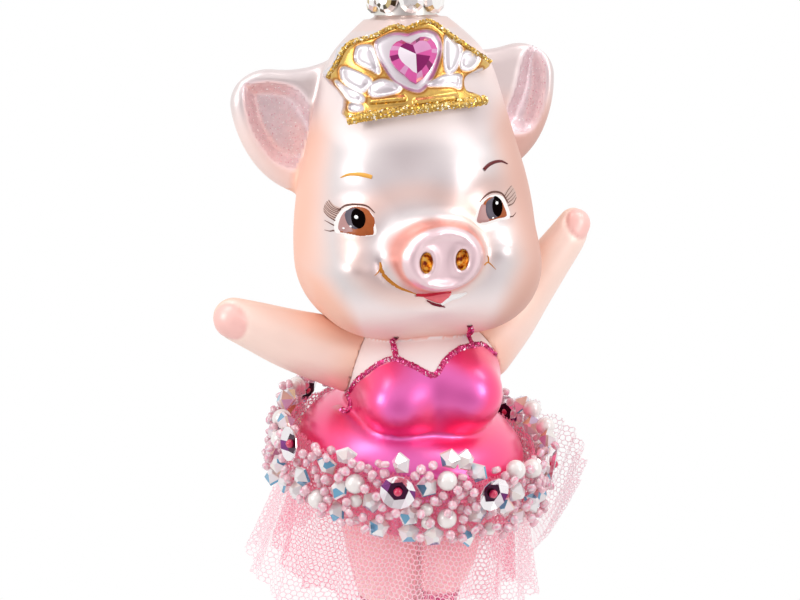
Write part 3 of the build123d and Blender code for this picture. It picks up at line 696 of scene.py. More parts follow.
def torso_field(points):
    field = lathe(points, bodice_table, bodice_frame)
    local = inside(points, bust_frame)
    for side in (-1, 1):
        bust = ball(local, (side * bust_half_spacing, -bust_forward, 0), bust_radius)
        field = smooth_join(field, bust, bust_blend)
    return smooth_join(field, lathe(points, skirt_table, skirt_frame), waist_blend)


def neck_field(points):
    top = points[:, 2] - neck_top
    bottom = neck_bottom - points[:, 2]
    return np.maximum(np.hypot(points[:, 0], points[:, 1]) - neck_radius, np.maximum(top, bottom))


def skin_field(points):
    upper = smooth_join(head_field(points), neck_field(points), neck_blend)
    return smooth_join(upper, torso_field(points), throat_blend)


# A surface where a field is nothing: a net of one point in each cell that the surface crosses
def surface_net(field, low, high, step):
    low, high = np.array(low, float), np.array(high, float)
    count = np.ceil((high - low) / step).astype(int) + 1
    axes = [low[i] + step * np.arange(count[i]) for i in range(3)]
    value = np.empty(count)
    y, z = np.meshgrid(axes[1], axes[2], indexing="ij")
    for i, x in enumerate(axes[0]):
        value[i] = field(np.stack([np.full(y.size, x), y.ravel(), z.ravel()], 1)).reshape(y.shape)
    inner = value < 0
    total = np.zeros(count - 1)
    place = np.zeros((*(count - 1), 3))
    corner = np.array([(i, j, k) for i in (0, 1) for j in (0, 1) for k in (0, 1)])
    for a in corner:
        for b in corner:
            if (b < a).any() or (b - a).sum() != 1:
                continue
            cut_a = tuple(slice(a[i], a[i] + count[i] - 1) for i in range(3))
            cut_b = tuple(slice(b[i], b[i] + count[i] - 1) for i in range(3))
            crossed = inner[cut_a] != inner[cut_b]
            share = np.where(crossed, value[cut_a] / np.where(crossed, value[cut_a] - value[cut_b], 1), 0)
            total += crossed
            for i in range(3):
                place[..., i] += crossed * (a[i] + share * (b[i] - a[i]))
    used = total > 0
    number = np.full(used.shape, -1)
    number[used] = np.arange(used.sum())
    base = np.argwhere(used)
    points = low + step * (base + place[used] / total[used][:, None])
    faces = []
    for axis in range(3):
        one, two = [i for i in range(3) if i != axis]
        ahead = [slice(None)] * 3
        behind = [slice(None)] * 3
        ahead[axis], behind[axis] = slice(1, None), slice(None, -1)
        for enters in (False, True):
            here = inner[tuple(behind)]
            there = inner[tuple(ahead)]
            edge = np.argwhere(here & ~there if not enters else ~here & there)
            edge = edge[(edge[:, one] > 0) & (edge[:, two] > 0)]
            edge = edge[(edge[:, one] < count[one] - 1) & (edge[:, two] < count[two] - 1)]
            ring = []
            for shift in ((1, 1), (0, 1), (0, 0), (1, 0)):
                cell = edge.copy()
                cell[:, one] -= shift[0]
                cell[:, two] -= shift[1]
                ring.append(number[tuple(cell.T)])
            ring = np.stack(ring, 1)
            forward = (axis != 1) != enters
            faces.append(ring if forward else ring[:, ::-1])
    return points, np.vstack(faces)


def settled(field, points, rounds=3):
    for _ in range(rounds):
        here = field(points)
        ways = settle_reach * np.eye(3)
        slope = np.stack([(field(points + way) - field(points - way)) / (2 * settle_reach)
                          for way in ways], 1)
        size = np.maximum((slope ** 2).sum(1), least_slope)
        points = points - np.clip(here / size, -most_settled, most_settled)[:, None] * slope
    return points


def plain_mesh(name, points, faces, smooth=True):
    mesh = bpy.data.meshes.new(name)
    faces = faces.tolist() if isinstance(faces, np.ndarray) else faces
    mesh.from_pydata((np.asarray(points) * mm).tolist(), [], faces)
    mesh.validate()
    mesh.update()
    piece = bpy.data.objects.new(name, mesh)
    bpy.context.scene.collection.objects.link(piece)
    mesh.polygons.foreach_set("use_smooth", [smooth] * len(mesh.polygons))
    return piece


def field_piece(name, field, low, high, step):
    points, faces = surface_net(field, low, high, step)
    return plain_mesh(name, settled(field, points), faces)


# Quads between one ring of points and the next, or between rows where they are open
def quads(rings, count, start=0, closed=True, flipped=False):
    faces = []
    for ring in range(rings - 1):
        for i in range(count if closed else count - 1):
            j = (i + 1) % count
            low, high = start + ring * count, start + (ring + 1) * count
            quad = (low + i, low + j, high + j, high + i)
            faces.append((quad[0], *quad[:0:-1]) if flipped else quad)
    return faces


def joined(*parts):
    points, faces = [], []
    for some_points, some_faces in parts:
        faces += [tuple(len(points) + index for index in face) for face in some_faces]
        points += list(some_points)
    return points, faces


def node_box(node_name, margin):
    low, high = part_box(node_name)
    return np.array(low) / mm - margin, np.array(high) / mm + margin


def add_masks(piece, **masks):
    for name, values in masks.items():
        layer = piece.data.attributes.new(name, "FLOAT", "POINT")
        layer.data.foreach_set("value", np.asarray(values, np.float32))


def points_of(piece):
    points = np.empty(len(piece.data.vertices) * 3)
    piece.data.vertices.foreach_get("co", points)
    return points.reshape(-1, 3) / mm


def normals_of(piece):
    return np.array([tuple(vertex.normal) for vertex in piece.data.vertices])


# The points and faces of a piece where keep is true, lifted off it
def lifted_part(piece, keep, lift):
    number = np.cumsum(keep) - 1
    faces = [tuple(int(number[i]) for i in face.vertices) for face in piece.data.polygons
             if all(keep[i] for i in face.vertices)]
    return (points_of(piece) + normals_of(piece) * lift)[keep], faces


# Limbs
def limb_distance(points, line):
    best = np.full(len(points), 1e9)
    for start, end in zip(line[:-1], line[1:]):
        along = end[:3] - start[:3]
        share = np.clip((points - start[:3]) @ along / (along @ along), 0, 1)
        radius = start[3] + share * (end[3] - start[3])
        best = np.minimum(best, np.linalg.norm(points - start[:3] - share[:, None] * along, axis=1) - radius)
    return best


# Nodes: one node of a tree, with its settings and then its inputs by name
def socket_in(made, name):
    named = [socket for socket in made.inputs if socket.name == name]
    return next((socket for socket in named if socket.enabled), named[0])


def wired(tree, value, socket):
    if isinstance(value, bpy.types.NodeSocket):
        tree.links.new(value, socket)
    else:
        socket.default_value = value


def node(tree, kind, settings=None, **inputs):
    made = tree.nodes.new(kind)
    for name, value in (settings or {}).items():
        setattr(made, name, value)
    for name, value in inputs.items():
        wired(tree, value, socket_in(made, name.replace("_", " ")))
    return made


def maths(tree, operation, first, second=0.0):
    made = node(tree, "ShaderNodeMath", {"operation": operation})
    wired(tree, first, made.inputs[0])
    wired(tree, second, made.inputs[1])
    return made.outputs[0]


def vector_maths(tree, operation, first, second=(0, 0, 0)):
    made = node(tree, "ShaderNodeVectorMath", {"operation": operation})
    wired(tree, first, made.inputs[0])
    wired(tree, second, made.inputs["Scale" if operation == "SCALE" else 1])
    return made.outputs["Value" if operation in ("DOT_PRODUCT", "LENGTH") else "Vector"]


def mixed(tree, share, first, second, kind="RGBA"):
    made = node(tree, "ShaderNodeMix", {"data_type": kind})
    places = {"RGBA": (0, 6, 7), "VECTOR": (0, 4, 5)}[kind]
    for value, place in zip((share, first, second), places):
        wired(tree, value, made.inputs[place])
    return made.outputs[{"RGBA": 2, "VECTOR": 1}[kind]]


def mixed_shaders(tree, share, first, second):
    made = node(tree, "ShaderNodeMixShader")
    for value, socket in zip((share, first, second), made.inputs):
        wired(tree, value, socket)
    return made.outputs[0]


def object_place(tree):
    return node(tree, "ShaderNodeTexCoord").outputs["Object"]


def attribute_value(tree, name):
    return node(tree, "ShaderNodeAttribute", {"attribute_name": name}).outputs["Fac"]


def new_material(name):
    made = bpy.data.materials.new(name)
    made.use_nodes = True
    return made, made.node_tree


def surface_of(tree):
    return tree.nodes["Material Output"].inputs["Surface"]


# Surfaces and colours
def start_material(name, colour, metallic=0.0, roughness=0.5, **more):
    made, tree = new_material(name)
    shader = tree.nodes["Principled BSDF"]
    shader.inputs["Base Color"].default_value = (*colour, 1)
    shader.inputs["Metallic"].default_value = metallic
    shader.inputs["Roughness"].default_value = roughness
    for socket, value in more.items():
        shader.inputs[socket.replace("_", " ").title().replace("Ior", "IOR")].default_value = value
    made.diffuse_color = (*colour, 1)
    return made, tree, shader


def ramp(tree, share, stops, steps=False):
    made = node(tree, "ShaderNodeValToRGB", Fac=share)
    band = made.color_ramp
    band.interpolation = "CONSTANT" if steps else "LINEAR"
    while len(band.elements) < len(stops):
        band.elements.new(1)
    for element, (place, colour) in zip(band.elements, stops):
        element.position = place
        element.color = (*colour, 1)
    return made.outputs[0]


def clouds(tree, size, detail):
    noise = node(tree, "ShaderNodeTexNoise", Vector=object_place(tree), Scale=1 / (size * mm), Detail=detail)
    return noise.outputs["Fac"]


# Sprayed lacquer: a colour with a slow cloudiness of some depth and size, and masked colours over it
def lacquer(name, colour, metallic=0.0, roughness=0.5, depth=0.06, size=3.0, layers=(), **more):
    made, tree, shader = start_material(name, colour, metallic, roughness, **more)
    darker = tuple(part * (1 - depth) for part in colour)
    shown = mixed(tree, clouds(tree, size, 2), (*darker, 1), (*colour, 1))
    for mask, layer in layers:
        shown = mixed(tree, attribute_value(tree, mask), shown, (*layer, 1))
    tree.links.new(shown, shader.inputs["Base Color"])
    return made


# Lacquer that pooled unevenly, from dark to light
def mottled(name, stops, size, metallic, roughness):
    made, tree, shader = start_material(name, stops[-1][1], metallic, roughness)
    tree.links.new(ramp(tree, clouds(tree, size, 1), stops), shader.inputs["Base Color"])
    return made


def shade_material(name, stops, metallic, roughness, **more):
    made, tree, shader = start_material(name, stops[0][1], metallic, roughness, **more)
    tree.links.new(ramp(tree, attribute_value(tree, "shade"), stops, True), shader.inputs["Base Color"])
    return made


pearl_colour = (0.70, 0.635, 0.635)
peach_colour = (0.96, 0.72, 0.63)
gold_colour = (0.86, 0.53, 0.13)
leg_colour = (0.96, 0.63, 0.60)
ear_colour = (0.95, 0.76, 0.79)
# Colours over the pearl lacquer. The grey, shadow and violet layers are painted shade and painted
# reflection; the others are the ornament's own colours
shell_layers = [
    ("matt", (0.90, 0.79, 0.78)), ("blush", (0.88, 0.46, 0.32)), ("shadow", (0.60, 0.33, 0.27)),
    ("grey", (0.46, 0.37, 0.38)), ("snout", (0.86, 0.36, 0.30)), ("disc", (0.80, 0.60, 0.63)),
    ("ear", ear_colour), ("leotard", (0.96, 0.02, 0.21)), ("violet", (0.74, 0.09, 0.44))]
# The limbs' edge colour is painted shade near the seam and on sides turned away from the front; pad and foot
# are real colours
arm_layers = [("edge", (0.88, 0.50, 0.32)), ("pad", (0.91, 0.50, 0.46))]
leg_layers = [("edge", (0.93, 0.46, 0.45)), ("foot", (0.70, 0.02, 0.16))]
# The crease colour is painted shade along the pane edges
tiara_layers = [("pane", (0.68, 0.63, 0.66)), ("crease", (0.38, 0.13, 0.015))]
nostril_stops = [(0.36, (0.22, 0.02, 0.004)), (0.46, (0.75, 0.26, 0.02)), (0.56, (0.95, 0.62, 0.14))]

looks = {
    "shell": lacquer("silvered_shell", pearl_colour, 0.75, 0.37, 0.05, 5, shell_layers, Coat_Roughness=0.28,
                     Coat_Ior=1.7),
    "arm": lacquer("peach_lacquer", peach_colour, 0.15, 0.42, 0.05, 4, arm_layers, Coat_Weight=0.4,
                   Coat_Roughness=0.3),
    "leg": lacquer("pink_peach_lacquer", leg_colour, 0.1, 0.42, 0.05, 4, leg_layers, Coat_Weight=0.4,
                   Coat_Roughness=0.3),
    "gold": lacquer("tiara_gold", gold_colour, 0.9, 0.24, 0.5, 1.6, tiara_layers, Coat_Weight=0.3,
                    Coat_Roughness=0.15),
    "amber": mottled("nostril_amber", nostril_stops, 0.9, 0.5, 0.25),
    "ear_glaze": lacquer("ear_glaze", ear_colour, 0.6, 0.4, 0.25, 1.2),
    "glue_gold": lacquer("gold_glue", (0.55, 0.32, 0.06), 0.6, 0.4, 0.4, 0.5),
    "glue_pink": lacquer("pink_glue", (0.62, 0.02, 0.16), 0.3, 0.4, 0.4, 0.5),
    "cap": lacquer("cap_silver", (0.78, 0.75, 0.70), 1.0, 0.28, 0.15, 2.0),
    "wire": lacquer("wire_steel", (0.72, 0.72, 0.73), 1.0, 0.22, 0.1, 1.0),
    "pearl": lacquer("pearl_lustre", (0.86, 0.80, 0.78), 0.1, 0.22, 0.08, 1.5, Coat_Weight=0.8,
                     Coat_Roughness=0.12),
    "sequin_bead": lacquer("red_pink_bead", (0.72, 0.02, 0.10), 0.0, 0.15, 0.2, 1.0, Coat_Weight=0.6),
    # The heart's white and plum are painted highlight and painted shade; light pink and pink are the stone's
    # own colour, lit and shaded
    "heart_white": lacquer("heart_white", (0.92, 0.84, 0.90), 0.7, 0.1, 0.05),
    "heart_lit_pink": lacquer("heart_light_pink", (0.80, 0.36, 0.62), 0.7, 0.1, 0.2, 2.0),
    "heart_pink": lacquer("heart_pink", (0.80, 0.12, 0.42), 0.7, 0.1, 0.25, 2.0),
    "heart_plum": lacquer("heart_plum", (0.28, 0.015, 0.14), 0.7, 0.1, 0.3, 1.5),
    "pupil": lacquer("pupil_black", (0.004, 0.002, 0.002), 0.0, 0.5, 0.2, 1.0, Specular_Ior_Level=0.0)}

# Face paints: colour, metallic, roughness, depth and size of the cloudiness
face_paints = {
    "lid": ("eyelid_white", (0.92, 0.86, 0.84), 0.0, 0.3),
    "eye_brown": ("eye_brown", (0.42, 0.10, 0.025), 0.0, 0.25, 0.3, 1.0),
    "eye_mauve": ("eye_mauve", (0.48, 0.26, 0.25), 0.0, 0.25, 0.1, 1.5),
    "iris": ("iris_grey", (0.12, 0.10, 0.13), 0.0, 0.35, 0.3, 0.8),
    "shine": ("eye_highlight", (0.95, 0.95, 0.95), 0.0, 0.3, 0.02),
    "lash": ("lash_brown", (0.15, 0.065, 0.05), 0.0, 0.4),
    "lash_grey": ("lash_shade", (0.60, 0.43, 0.38), 0.1, 0.5),
    "brow_gold": ("brow_gold", (0.85, 0.42, 0.08), 0.1, 0.35, 0.15, 1.0),
    "brow_dark": ("brow_maroon", (0.13, 0.008, 0.012), 0.0, 0.35, 0.2, 1.0),
    "smile": ("smile_gold", (0.62, 0.23, 0.03), 0.2, 0.35, 0.25, 1.0),
    "lip": ("lip_red", (0.58, 0.01, 0.03), 0.0, 0.3, 0.3, 1.0),
    "mouth_dark": ("mouth_maroon", (0.20, 0.004, 0.02), 0.0, 0.35, 0.3, 1.0),
    "tongue": ("tongue_pink", (0.88, 0.17, 0.20), 0.0, 0.3, 0.15, 1.0)}
for look, paint in face_paints.items():
    looks[look] = lacquer(*paint, Specular_Ior_Level=0.2)

# Flakes and cut beads: a colour for each share of the facets, metallic, roughness and further settings
facet_looks = {
    "gold_flakes": ("gold_flakes", [(0, (0.85, 0.50, 0.08)), (0.35, (0.50, 0.26, 0.04)),
                                    (0.5, (0.90, 0.72, 0.30)), (0.85, (0.95, 0.90, 0.78))], 0.8, 0.25, {}),
    "pink_flakes": ("pink_flakes", [(0, (0.80, 0.04, 0.24)), (0.35, (0.42, 0.01, 0.11)),
                                    (0.52, (0.86, 0.16, 0.40)), (0.84, (0.92, 0.70, 0.78))], 0.6, 0.3, {}),
    "pale_flakes": ("pale_flakes", [(0, (0.85, 0.55, 0.60)), (0.45, (0.70, 0.32, 0.40)),
                                    (0.65, (0.96, 0.92, 0.93))], 0.4, 0.3, {}),
    "seed": ("seed_clear_pink", [(0, (0.97, 0.60, 0.68)), (0.4, (0.97, 0.84, 0.87)),
                                 (0.7, (0.96, 0.44, 0.58)), (0.9, (0.96, 0.78, 0.92))], 0.0, 0.06,
             {"Transmission_Weight": 0.35, "Ior": 1.5, "Coat_Weight": 1.0, "Coat_Roughness": 0.05}),
    # The crystal's facet colours are partly its iridescent coating and partly painted glints and reflections
    "crystal": ("crystal_iridescent", [(0, (0.93, 0.91, 0.92)), (0.34, (0.92, 0.64, 0.54)),
                                       (0.46, (0.95, 0.82, 0.86)), (0.62, (0.12, 0.40, 0.62)),
                                       (0.70, (0.94, 0.88, 0.84)), (0.82, (0.92, 0.62, 0.28)),
                                       (0.90, (0.72, 0.60, 0.84))], 0.25, 0.06,
                {"Transmission_Weight": 0.3, "Ior": 1.6, "Coat_Weight": 0.6}),
    "sequin": ("sequin_plum", [(0, (0.045, 0.008, 0.03)), (0.3, (0.20, 0.05, 0.20)),
                               (0.6, (0.86, 0.82, 0.84))], 0.9, 0.14, {}),
    "stone": ("cap_stone_foil", [(0, (0.92, 0.90, 0.88)), (0.5, (0.55, 0.42, 0.20)),
                                 (0.7, (0.93, 0.92, 0.92)), (0.88, (0.10, 0.08, 0.05))], 0.8, 0.12,
              {"Coat_Weight": 0.5})}
for look, (*paint, more) in facet_looks.items():
    looks[look] = shade_material(*paint, **more)


# Net: a hexagonal mesh cut out of the cloth, on the cloth's own flat measures in millimetres
def net_material(name, colour, cell, strand, solid):
    made, tree, shader = start_material(name, colour, 0.0, 0.55, Sheen_Weight=0.3)
    layout = node(tree, "ShaderNodeUVMap", {"uv_map": "cloth"}).outputs["UV"]
    wave = node(tree, "ShaderNodeTexNoise", Vector=layout, Scale=net_wave_scale).outputs["Color"]
    shifted = vector_maths(tree, "ADD", layout, vector_maths(tree, "SCALE", wave, net_wave_depth))
    place = vector_maths(tree, "DIVIDE", shifted, (cell, cell, 1))
    pitch, half = (1, sqrt(3), 1), (0.5, sqrt(3) / 2, 0)
    flat = []
    for start in (place, vector_maths(tree, "ADD", place, half)):
        wrapped = vector_maths(tree, "ADD", start, (net_repeat, net_repeat * sqrt(3), 0))
        wrapped = vector_maths(tree, "SUBTRACT", vector_maths(tree, "MODULO", wrapped, pitch), half)
        flat.append(vector_maths(tree, "MULTIPLY", wrapped, (1, 1, 0)))
    nearer = maths(tree, "LESS_THAN", *[vector_maths(tree, "LENGTH", one) for one in flat])
    across = vector_maths(tree, "ABSOLUTE", mixed(tree, nearer, flat[1], flat[0], "VECTOR"))
    apart = maths(tree, "MAXIMUM", vector_maths(tree, "DOT_PRODUCT", across, (1, 0, 0)),
                   vector_maths(tree, "DOT_PRODUCT", across, half))
    thread = maths(tree, "GREATER_THAN", apart, 0.5 - strand / cell / 2)
    through = node(tree, "ShaderNodeBsdfTranslucent", Color=(*colour, 1)).outputs[0]
    cloth = mixed_shaders(tree, net_translucency, shader.outputs[0], through)
    clear = node(tree, "ShaderNodeBsdfTransparent").outputs[0]
    shown = mixed_shaders(tree, maths(tree, "MAXIMUM", thread, solid), clear, cloth)
    tree.links.new(shown, surface_of(tree))
    return made


looks["net_pale"] = net_material("tulle_pale", (0.97, 0.76, 0.81), 1.1, 0.18, 0.05)
looks["net_salmon"] = net_material("tulle_salmon", (0.97, 0.45, 0.56), 1.1, 0.20, 0.16)
looks["net_band"] = net_material("tulle_heading", (0.94, 0.28, 0.44), 1.0, 0.34, 0.2)


# The leotard's lacquer is thick and clear, and the sprayed pink and peach on the face is matt
def follow_mask(look, mask, name, low, high):
    tree = looks[look].node_tree
    spread = node(tree, "ShaderNodeMapRange", Value=attribute_value(tree, mask), To_Min=low, To_Max=high)
    tree.links.new(spread.outputs[0], tree.nodes["Principled BSDF"].inputs[name])


follow_mask("shell", "leotard", "Coat Weight", 0.15, 1.0)
follow_mask("gold", "pane", "Roughness", 0.24, 0.40)
follow_mask("shell", "matt", "Metallic", 0.75, 0.15)
follow_mask("shell", "matt", "Roughness", 0.37, 0.55)


def placed(piece, node_name):
    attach(piece, figure)
    if node_name:
        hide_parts(node_name)
    return piece


def finished(piece, node_name, slot, *names):
    for name in names:
        piece.data.materials.append(looks[name])
    return placed(piece, node_name)


# Shell of blown glass
skin = field_piece("blown_shell", skin_field, *node_box("glass_body", 1.5), skin_step)


def smooth_mask(distance, width):
    return 1 - fade(distance, -width / 2, width / 2)


def paint_shell():
    points, normals = points_of(skin), normals_of(skin)
    frames = (head_frame, crown_frame, bust_frame, snout_frame)
    local, crown, bust, nose = [inside(points, place) for place in frames]
    head, torso, outward = head_field(points), torso_field(points), head_core(points)
    across, up = local[:, 0], local[:, 2]
    on_head, in_front = head < torso, local[:, 1] < 0
    top = np.where(bust[:, 1] > 0, neckline_back, np.interp(bust[:, 0], *zip(*neckline)))
    below = np.where(points[:, 2] > leotard_limit, -1, head - torso)
    leotard = smooth_mask(bust[:, 2] - top, neckline_edge) * fade(below, -0.1, 0.3)
    # Violet where the leotard faces the room and across the front of the skirt: a painted reflection, not a
    # sprayed colour
    facing = np.clip(normals @ np.array(reflection_way), 0, 1)
    level = normals[:, :2] @ np.array(reflection_way[:2]) / np.maximum(np.hypot(*normals[:, :2].T), 0.05)
    skirt_reflection_band = fade(level, *reflection_level) * (inside(points, body_frame)[:, 2] < waist_height)
    width = head_radius * np.interp(up / head_half_height, *zip(*head_width_steps))
    side = np.where(across < 0, fade(-across / width, *side_right), fade(across / width, *side_left))
    side = side * (1 - side_share * fade(up, *side_top))
    ring = np.hypot((across - snout_shift) / snout_ring_stretch, up + snout_drop) - snout_ring_radius
    crease = fade(snout_ring_width - np.abs(ring), 0, snout_ring_width) * snout_ring_share
    blush = [side * side_share, fade(-up, *chin_fade) * chin_share, crease * in_front]
    blush = np.where(up > crown_start, crown_share, np.maximum.reduce(blush) * on_head)
    forehead = matt_forehead_share * fade(up, *matt_forehead) * (1 - fade(up, *matt_forehead_end))
    forehead = forehead * (outward < 1) * fade(-local[:, 1], -2, 6)
    matt = np.maximum.reduce([side, fade(-up, *matt_chin), forehead])
    # Grey: painted shade on the forehead and cheek, damping the pearl's reflections there
    grey = np.clip(sum(share * mound(across, up, *spot) for *spot, share in painted_shade_spots), 0, 1)
    # Shadow: painted shade round the eyes and down the side of the head where across is positive
    shadow = sum(share * mound(across, up, *spot) for *spot, share in eye_shade_spots)
    shadow = np.clip(shadow, 0, shadow_limit) * in_front + shadow_side * side * (across > 0)
    in_ear = fade(outward, 0.8, 2.6) * (crown[:, 2] > 0)
    bowl = fade(-bowl_distance(crown), -0.3, 0.5) * in_ear * (crown[:, 1] < ear_back + ear_bowl_depth / 2)
    near_nose = (nose[:, 2] > snout_root) * (np.hypot(nose[:, 0], nose[:, 1]) < barrel_reach)
    barrel = fade(outward, 0.2, 2.2) * near_nose
    disc = fade(nose[:, 2], *[snout_front - depth for depth in disc_depths]) * fade(barrel, 0.3, 0.9)
    line = fade(-up, *chin_line) * chin_line_share * on_head
    add_masks(skin, leotard=leotard, disc=disc, ear=bowl * ear_share, shadow=shadow * on_head,
              violet=leotard * np.maximum(fade(facing, *reflection_facing), skirt_reflection_band) * reflection_share,
              matt=np.where(on_head, matt, matt_torso) * (1 - leotard), grey=grey * in_front * on_head,
              blush=blush * (1 - bowl) * (1 - leotard) * (1 - ear_blush_loss * in_ear),
              snout=np.maximum(barrel * barrel_share * (1 - disc), line))


paint_shell()
finished(skin, "glass_body", "pearl_glass", "shell")
skin_points = points_of(skin)
skin_tree = BVHTree.FromPolygons([Vector(point) for point in skin_points],
                                 [tuple(face.vertices) for face in skin.data.polygons])


# The place on the shell that a ray through a frame meets, and the shell's direction there
def cast(place, start, way):
    return skin_tree.ray_cast(place @ Vector(start), place.to_3x3() @ Vector(way))[:2]


# Arms and legs, each glued to the shell with a small gap
def limb_piece(name, node_name, route, look, pad=None, foot=None):
    line = open_curve(route, 8)

    def field(points):
        found = limb_distance(points, line)
        if pad is not None:
            apart = np.linalg.norm(points - np.array(pad), axis=1)
            found = found + pad_groove * np.exp(-((apart - pad_radius) / pad_groove_width) ** 2)
        return smooth_cut(found, limb_gap - skin_field(points), limb_root_edge)

    piece = field_piece(name, field, *node_box(node_name, 2.0), limb_step)
    points = points_of(piece)
    if pad is not None:
        apart = np.linalg.norm(points - np.array(pad), axis=1)
        add_masks(piece, pad=smooth_mask(apart - pad_radius, pad_edge) * pad_share)
    if foot is not None:
        add_masks(piece, foot=smooth_mask(points[:, 2] - foot, slipper_edge))
    # Edge: painted shade by the seam with the shell and on the sides turned away from the front
    seam_shade = fade(-skin_field(points), *seam_shade_reach) * seam_shade_share
    side_shade = fade(1 - np.abs(normals_of(piece)[:, 1]), *limb_side_shade_reach) * limb_side_shade_share
    add_masks(piece, edge=np.maximum(seam_shade, side_shade))
    return finished(piece, node_name, "peach_glass", look)


limb_piece("arm_right", "right_arm", right_arm_route, "arm", pad=right_pad)
limb_piece("arm_left", "left_arm", left_arm_route, "arm", pad=left_pad)
leg_right = limb_piece("leg_right", "right_leg", right_leg_route, "leg", foot=right_slipper_top)
leg_left = limb_piece("leg_left", "left_leg", left_leg_route, "leg", foot=left_slipper_top)


# Face paint, laid on the shell along the pig's line of sight
def on_skin(across, up, lift):
    hit, normal = cast(head_frame, (across, -ray_start, up), (0, 1, 0))
    return np.array(hit + normal * lift)


def patch(outline, lift, rings=5, smooth=True):
    edge = closed_curve(outline) if smooth else np.array(outline, float)
    centre = edge.mean(0)
    points = [on_skin(*centre, lift)]
    for ring in range(1, rings + 1):
        thin = lift if ring < rings else 0.0
        points += [on_skin(*(centre + (place - centre) * ring / rings), thin) for place in edge]
    count = len(edge)
    return points, [(0, 1 + (i + 1) % count, 1 + i) for i in range(count)] + quads(rings, count, 1)


def stroke(route, widths, lift):
    line = open_curve(route, 6)
    widths = np.interp(np.linspace(0, 1, len(line)), np.linspace(0, 1, len(widths)), widths)
    points = []
    for i, place in enumerate(line):
        ahead = line[min(i + 1, len(line) - 1)] - line[max(i - 1, 0)]
        side = np.array([-ahead[1], ahead[0]]) / np.hypot(*ahead)
        points += [on_skin(*(place + side * share * widths[i] / 2), lift * (1 - share * share))
                   for share in (-1, -0.5, 0, 0.5, 1)]
    return points, quads(len(line), 5, closed=False, flipped=True)


def strokes(routes, widths, lift):
    return [stroke(route, widths, lift) for route in routes]


def painted(name, look, *parts):
    return finished(plain_mesh(name, *joined(*parts)), None, "pearl_glass", look)


def dot(across, up, radius, lift):
    ring = [(across + radius * cos(2 * pi * i / 10), up + radius * sin(2 * pi * i / 10)) for i in range(10)]
    return patch(ring, lift, 3, smooth=False)


painted("lash_shades", "lash_grey", *[patch(fan, 0.06) for fan in lash_fans])
painted("eyelid_outlines", "lid", patch(left_lid, 0.10), patch(right_lid, 0.10))
painted("eye_browns", "eye_brown", patch(left_eye, 0.16), patch(right_eye, 0.16))
painted("eye_mauves", "eye_mauve", patch(left_mauve, 0.21), patch(right_mauve, 0.21))
painted("irises", "iris", patch(left_iris, 0.26), patch(right_iris, 0.26))
painted("pupils", "pupil", patch(left_pupil, 0.31), patch(right_pupil, 0.31))
painted("eye_highlights", "shine", *[dot(*place, 0.40) for place in eye_highlights])
painted("eye_lines", "lash", *strokes([left_eye_line, right_eye_line], [0.12, 0.42, 0.40, 0.15], 0.2),
        *strokes(lashes, [0.30, 0.20, 0.06], 0.12))
painted("brow_right", "brow_gold", stroke(gold_brow, [0.15, 0.62, 0.85, 0.75], 0.22))
painted("brow_left", "brow_dark", stroke(dark_brow, [0.75, 0.72, 0.55, 0.20], 0.22))
painted("smile_line", "smile", stroke(smile, [0.35, 0.80, 0.75, 0.62, 0.45, 0.12], 0.16),
        *strokes(smile_corners, [0.30, 0.30, 0.08], 0.14))
painted("tongue", "tongue", patch(tongue, 0.25))
painted("lip_line", "lip", stroke(lip, [0.6, 0.80, 0.55, 0.1], 0.34))
painted("lower_lip_line", "mouth_dark", stroke(lower_lip, [0.15, 0.55, 0.55, 0.1], 0.36))
painted("lip_highlight", "shine", stroke(lip_highlight, [0.6, 1.3, 1.0, 0.15], 0.38))


# Nostril paint, at the bottom of each nostril
def nostril_fill(side, rings=4, count=16):
    points = []
    for ring in range(rings + 1):
        for i in range(count):
            turn = 2 * pi * i / count
            x = side * nostril_half_spacing + nostril_half_width * 1.05 * ring / rings * cos(turn)
            y = -nostril_drop + nostril_half_height * 1.05 * ring / rings * sin(turn)
            hit, normal = cast(snout_frame, (x, y, ray_start), (0, 0, -1))
            points.append(np.array(hit + normal * 0.1))
    return points, quads(rings + 1, count, flipped=True)


painted("nostril_paint", "amber", nostril_fill(-1), nostril_fill(1))


# Tiara: raised gold ribs round silver panes, on a leaning round face
tiara_slope = tan(radians(tiara_lean))
tiara_edge = Table(closed_curve(tiara_outline, 3))
pane_tables = [Table(closed_curve(pane, 4)) for pane in tiara_panes]
heart_table = Table(closed_curve(heart_pane, 3))


def tiara_local(points):
    local = inside(points, crown_frame)
    return local[:, 0], local[:, 2] - tiara_base_rise, local


def pane_distance(u, v):
    return np.minimum.reduce([table(u, v) for table in pane_tables])


def blurred(value, spread):
    reach = int(3 * spread)
    weights = np.exp(-(np.arange(-reach, reach + 1) / spread) ** 2 / 2)
    weights = weights / weights.sum()
    for axis in (0, 1):
        value = np.apply_along_axis(np.convolve, axis, value, weights, "same")
    return value


def relief_map():
    chart = Table(closed_curve(tiara_outline, 3), relief_step, 3)
    u, v = chart.grid()
    pane, heart = pane_distance(u, v), heart_table(u, v)
    ribs = tiara_rib * blurred((np.minimum(pane, heart) > 0.05).astype(float), rib_softness / relief_step)
    pillows = pane_pillow * blurred((pane < -0.3).astype(float), pillow_softness / relief_step)
    tray = heart_tray * blurred((heart < -0.3).astype(float), pillow_softness / relief_step)
    bars = sum(bar_height * np.exp(-((v - rise) / bar_width) ** 2)
               * smooth_mask(np.abs(u - middle) - reach, bar_end) for middle, reach, rise in base_bars)
    chart.value = ribs + pillows + tray + bars
    return chart


tiara_relief = relief_map()


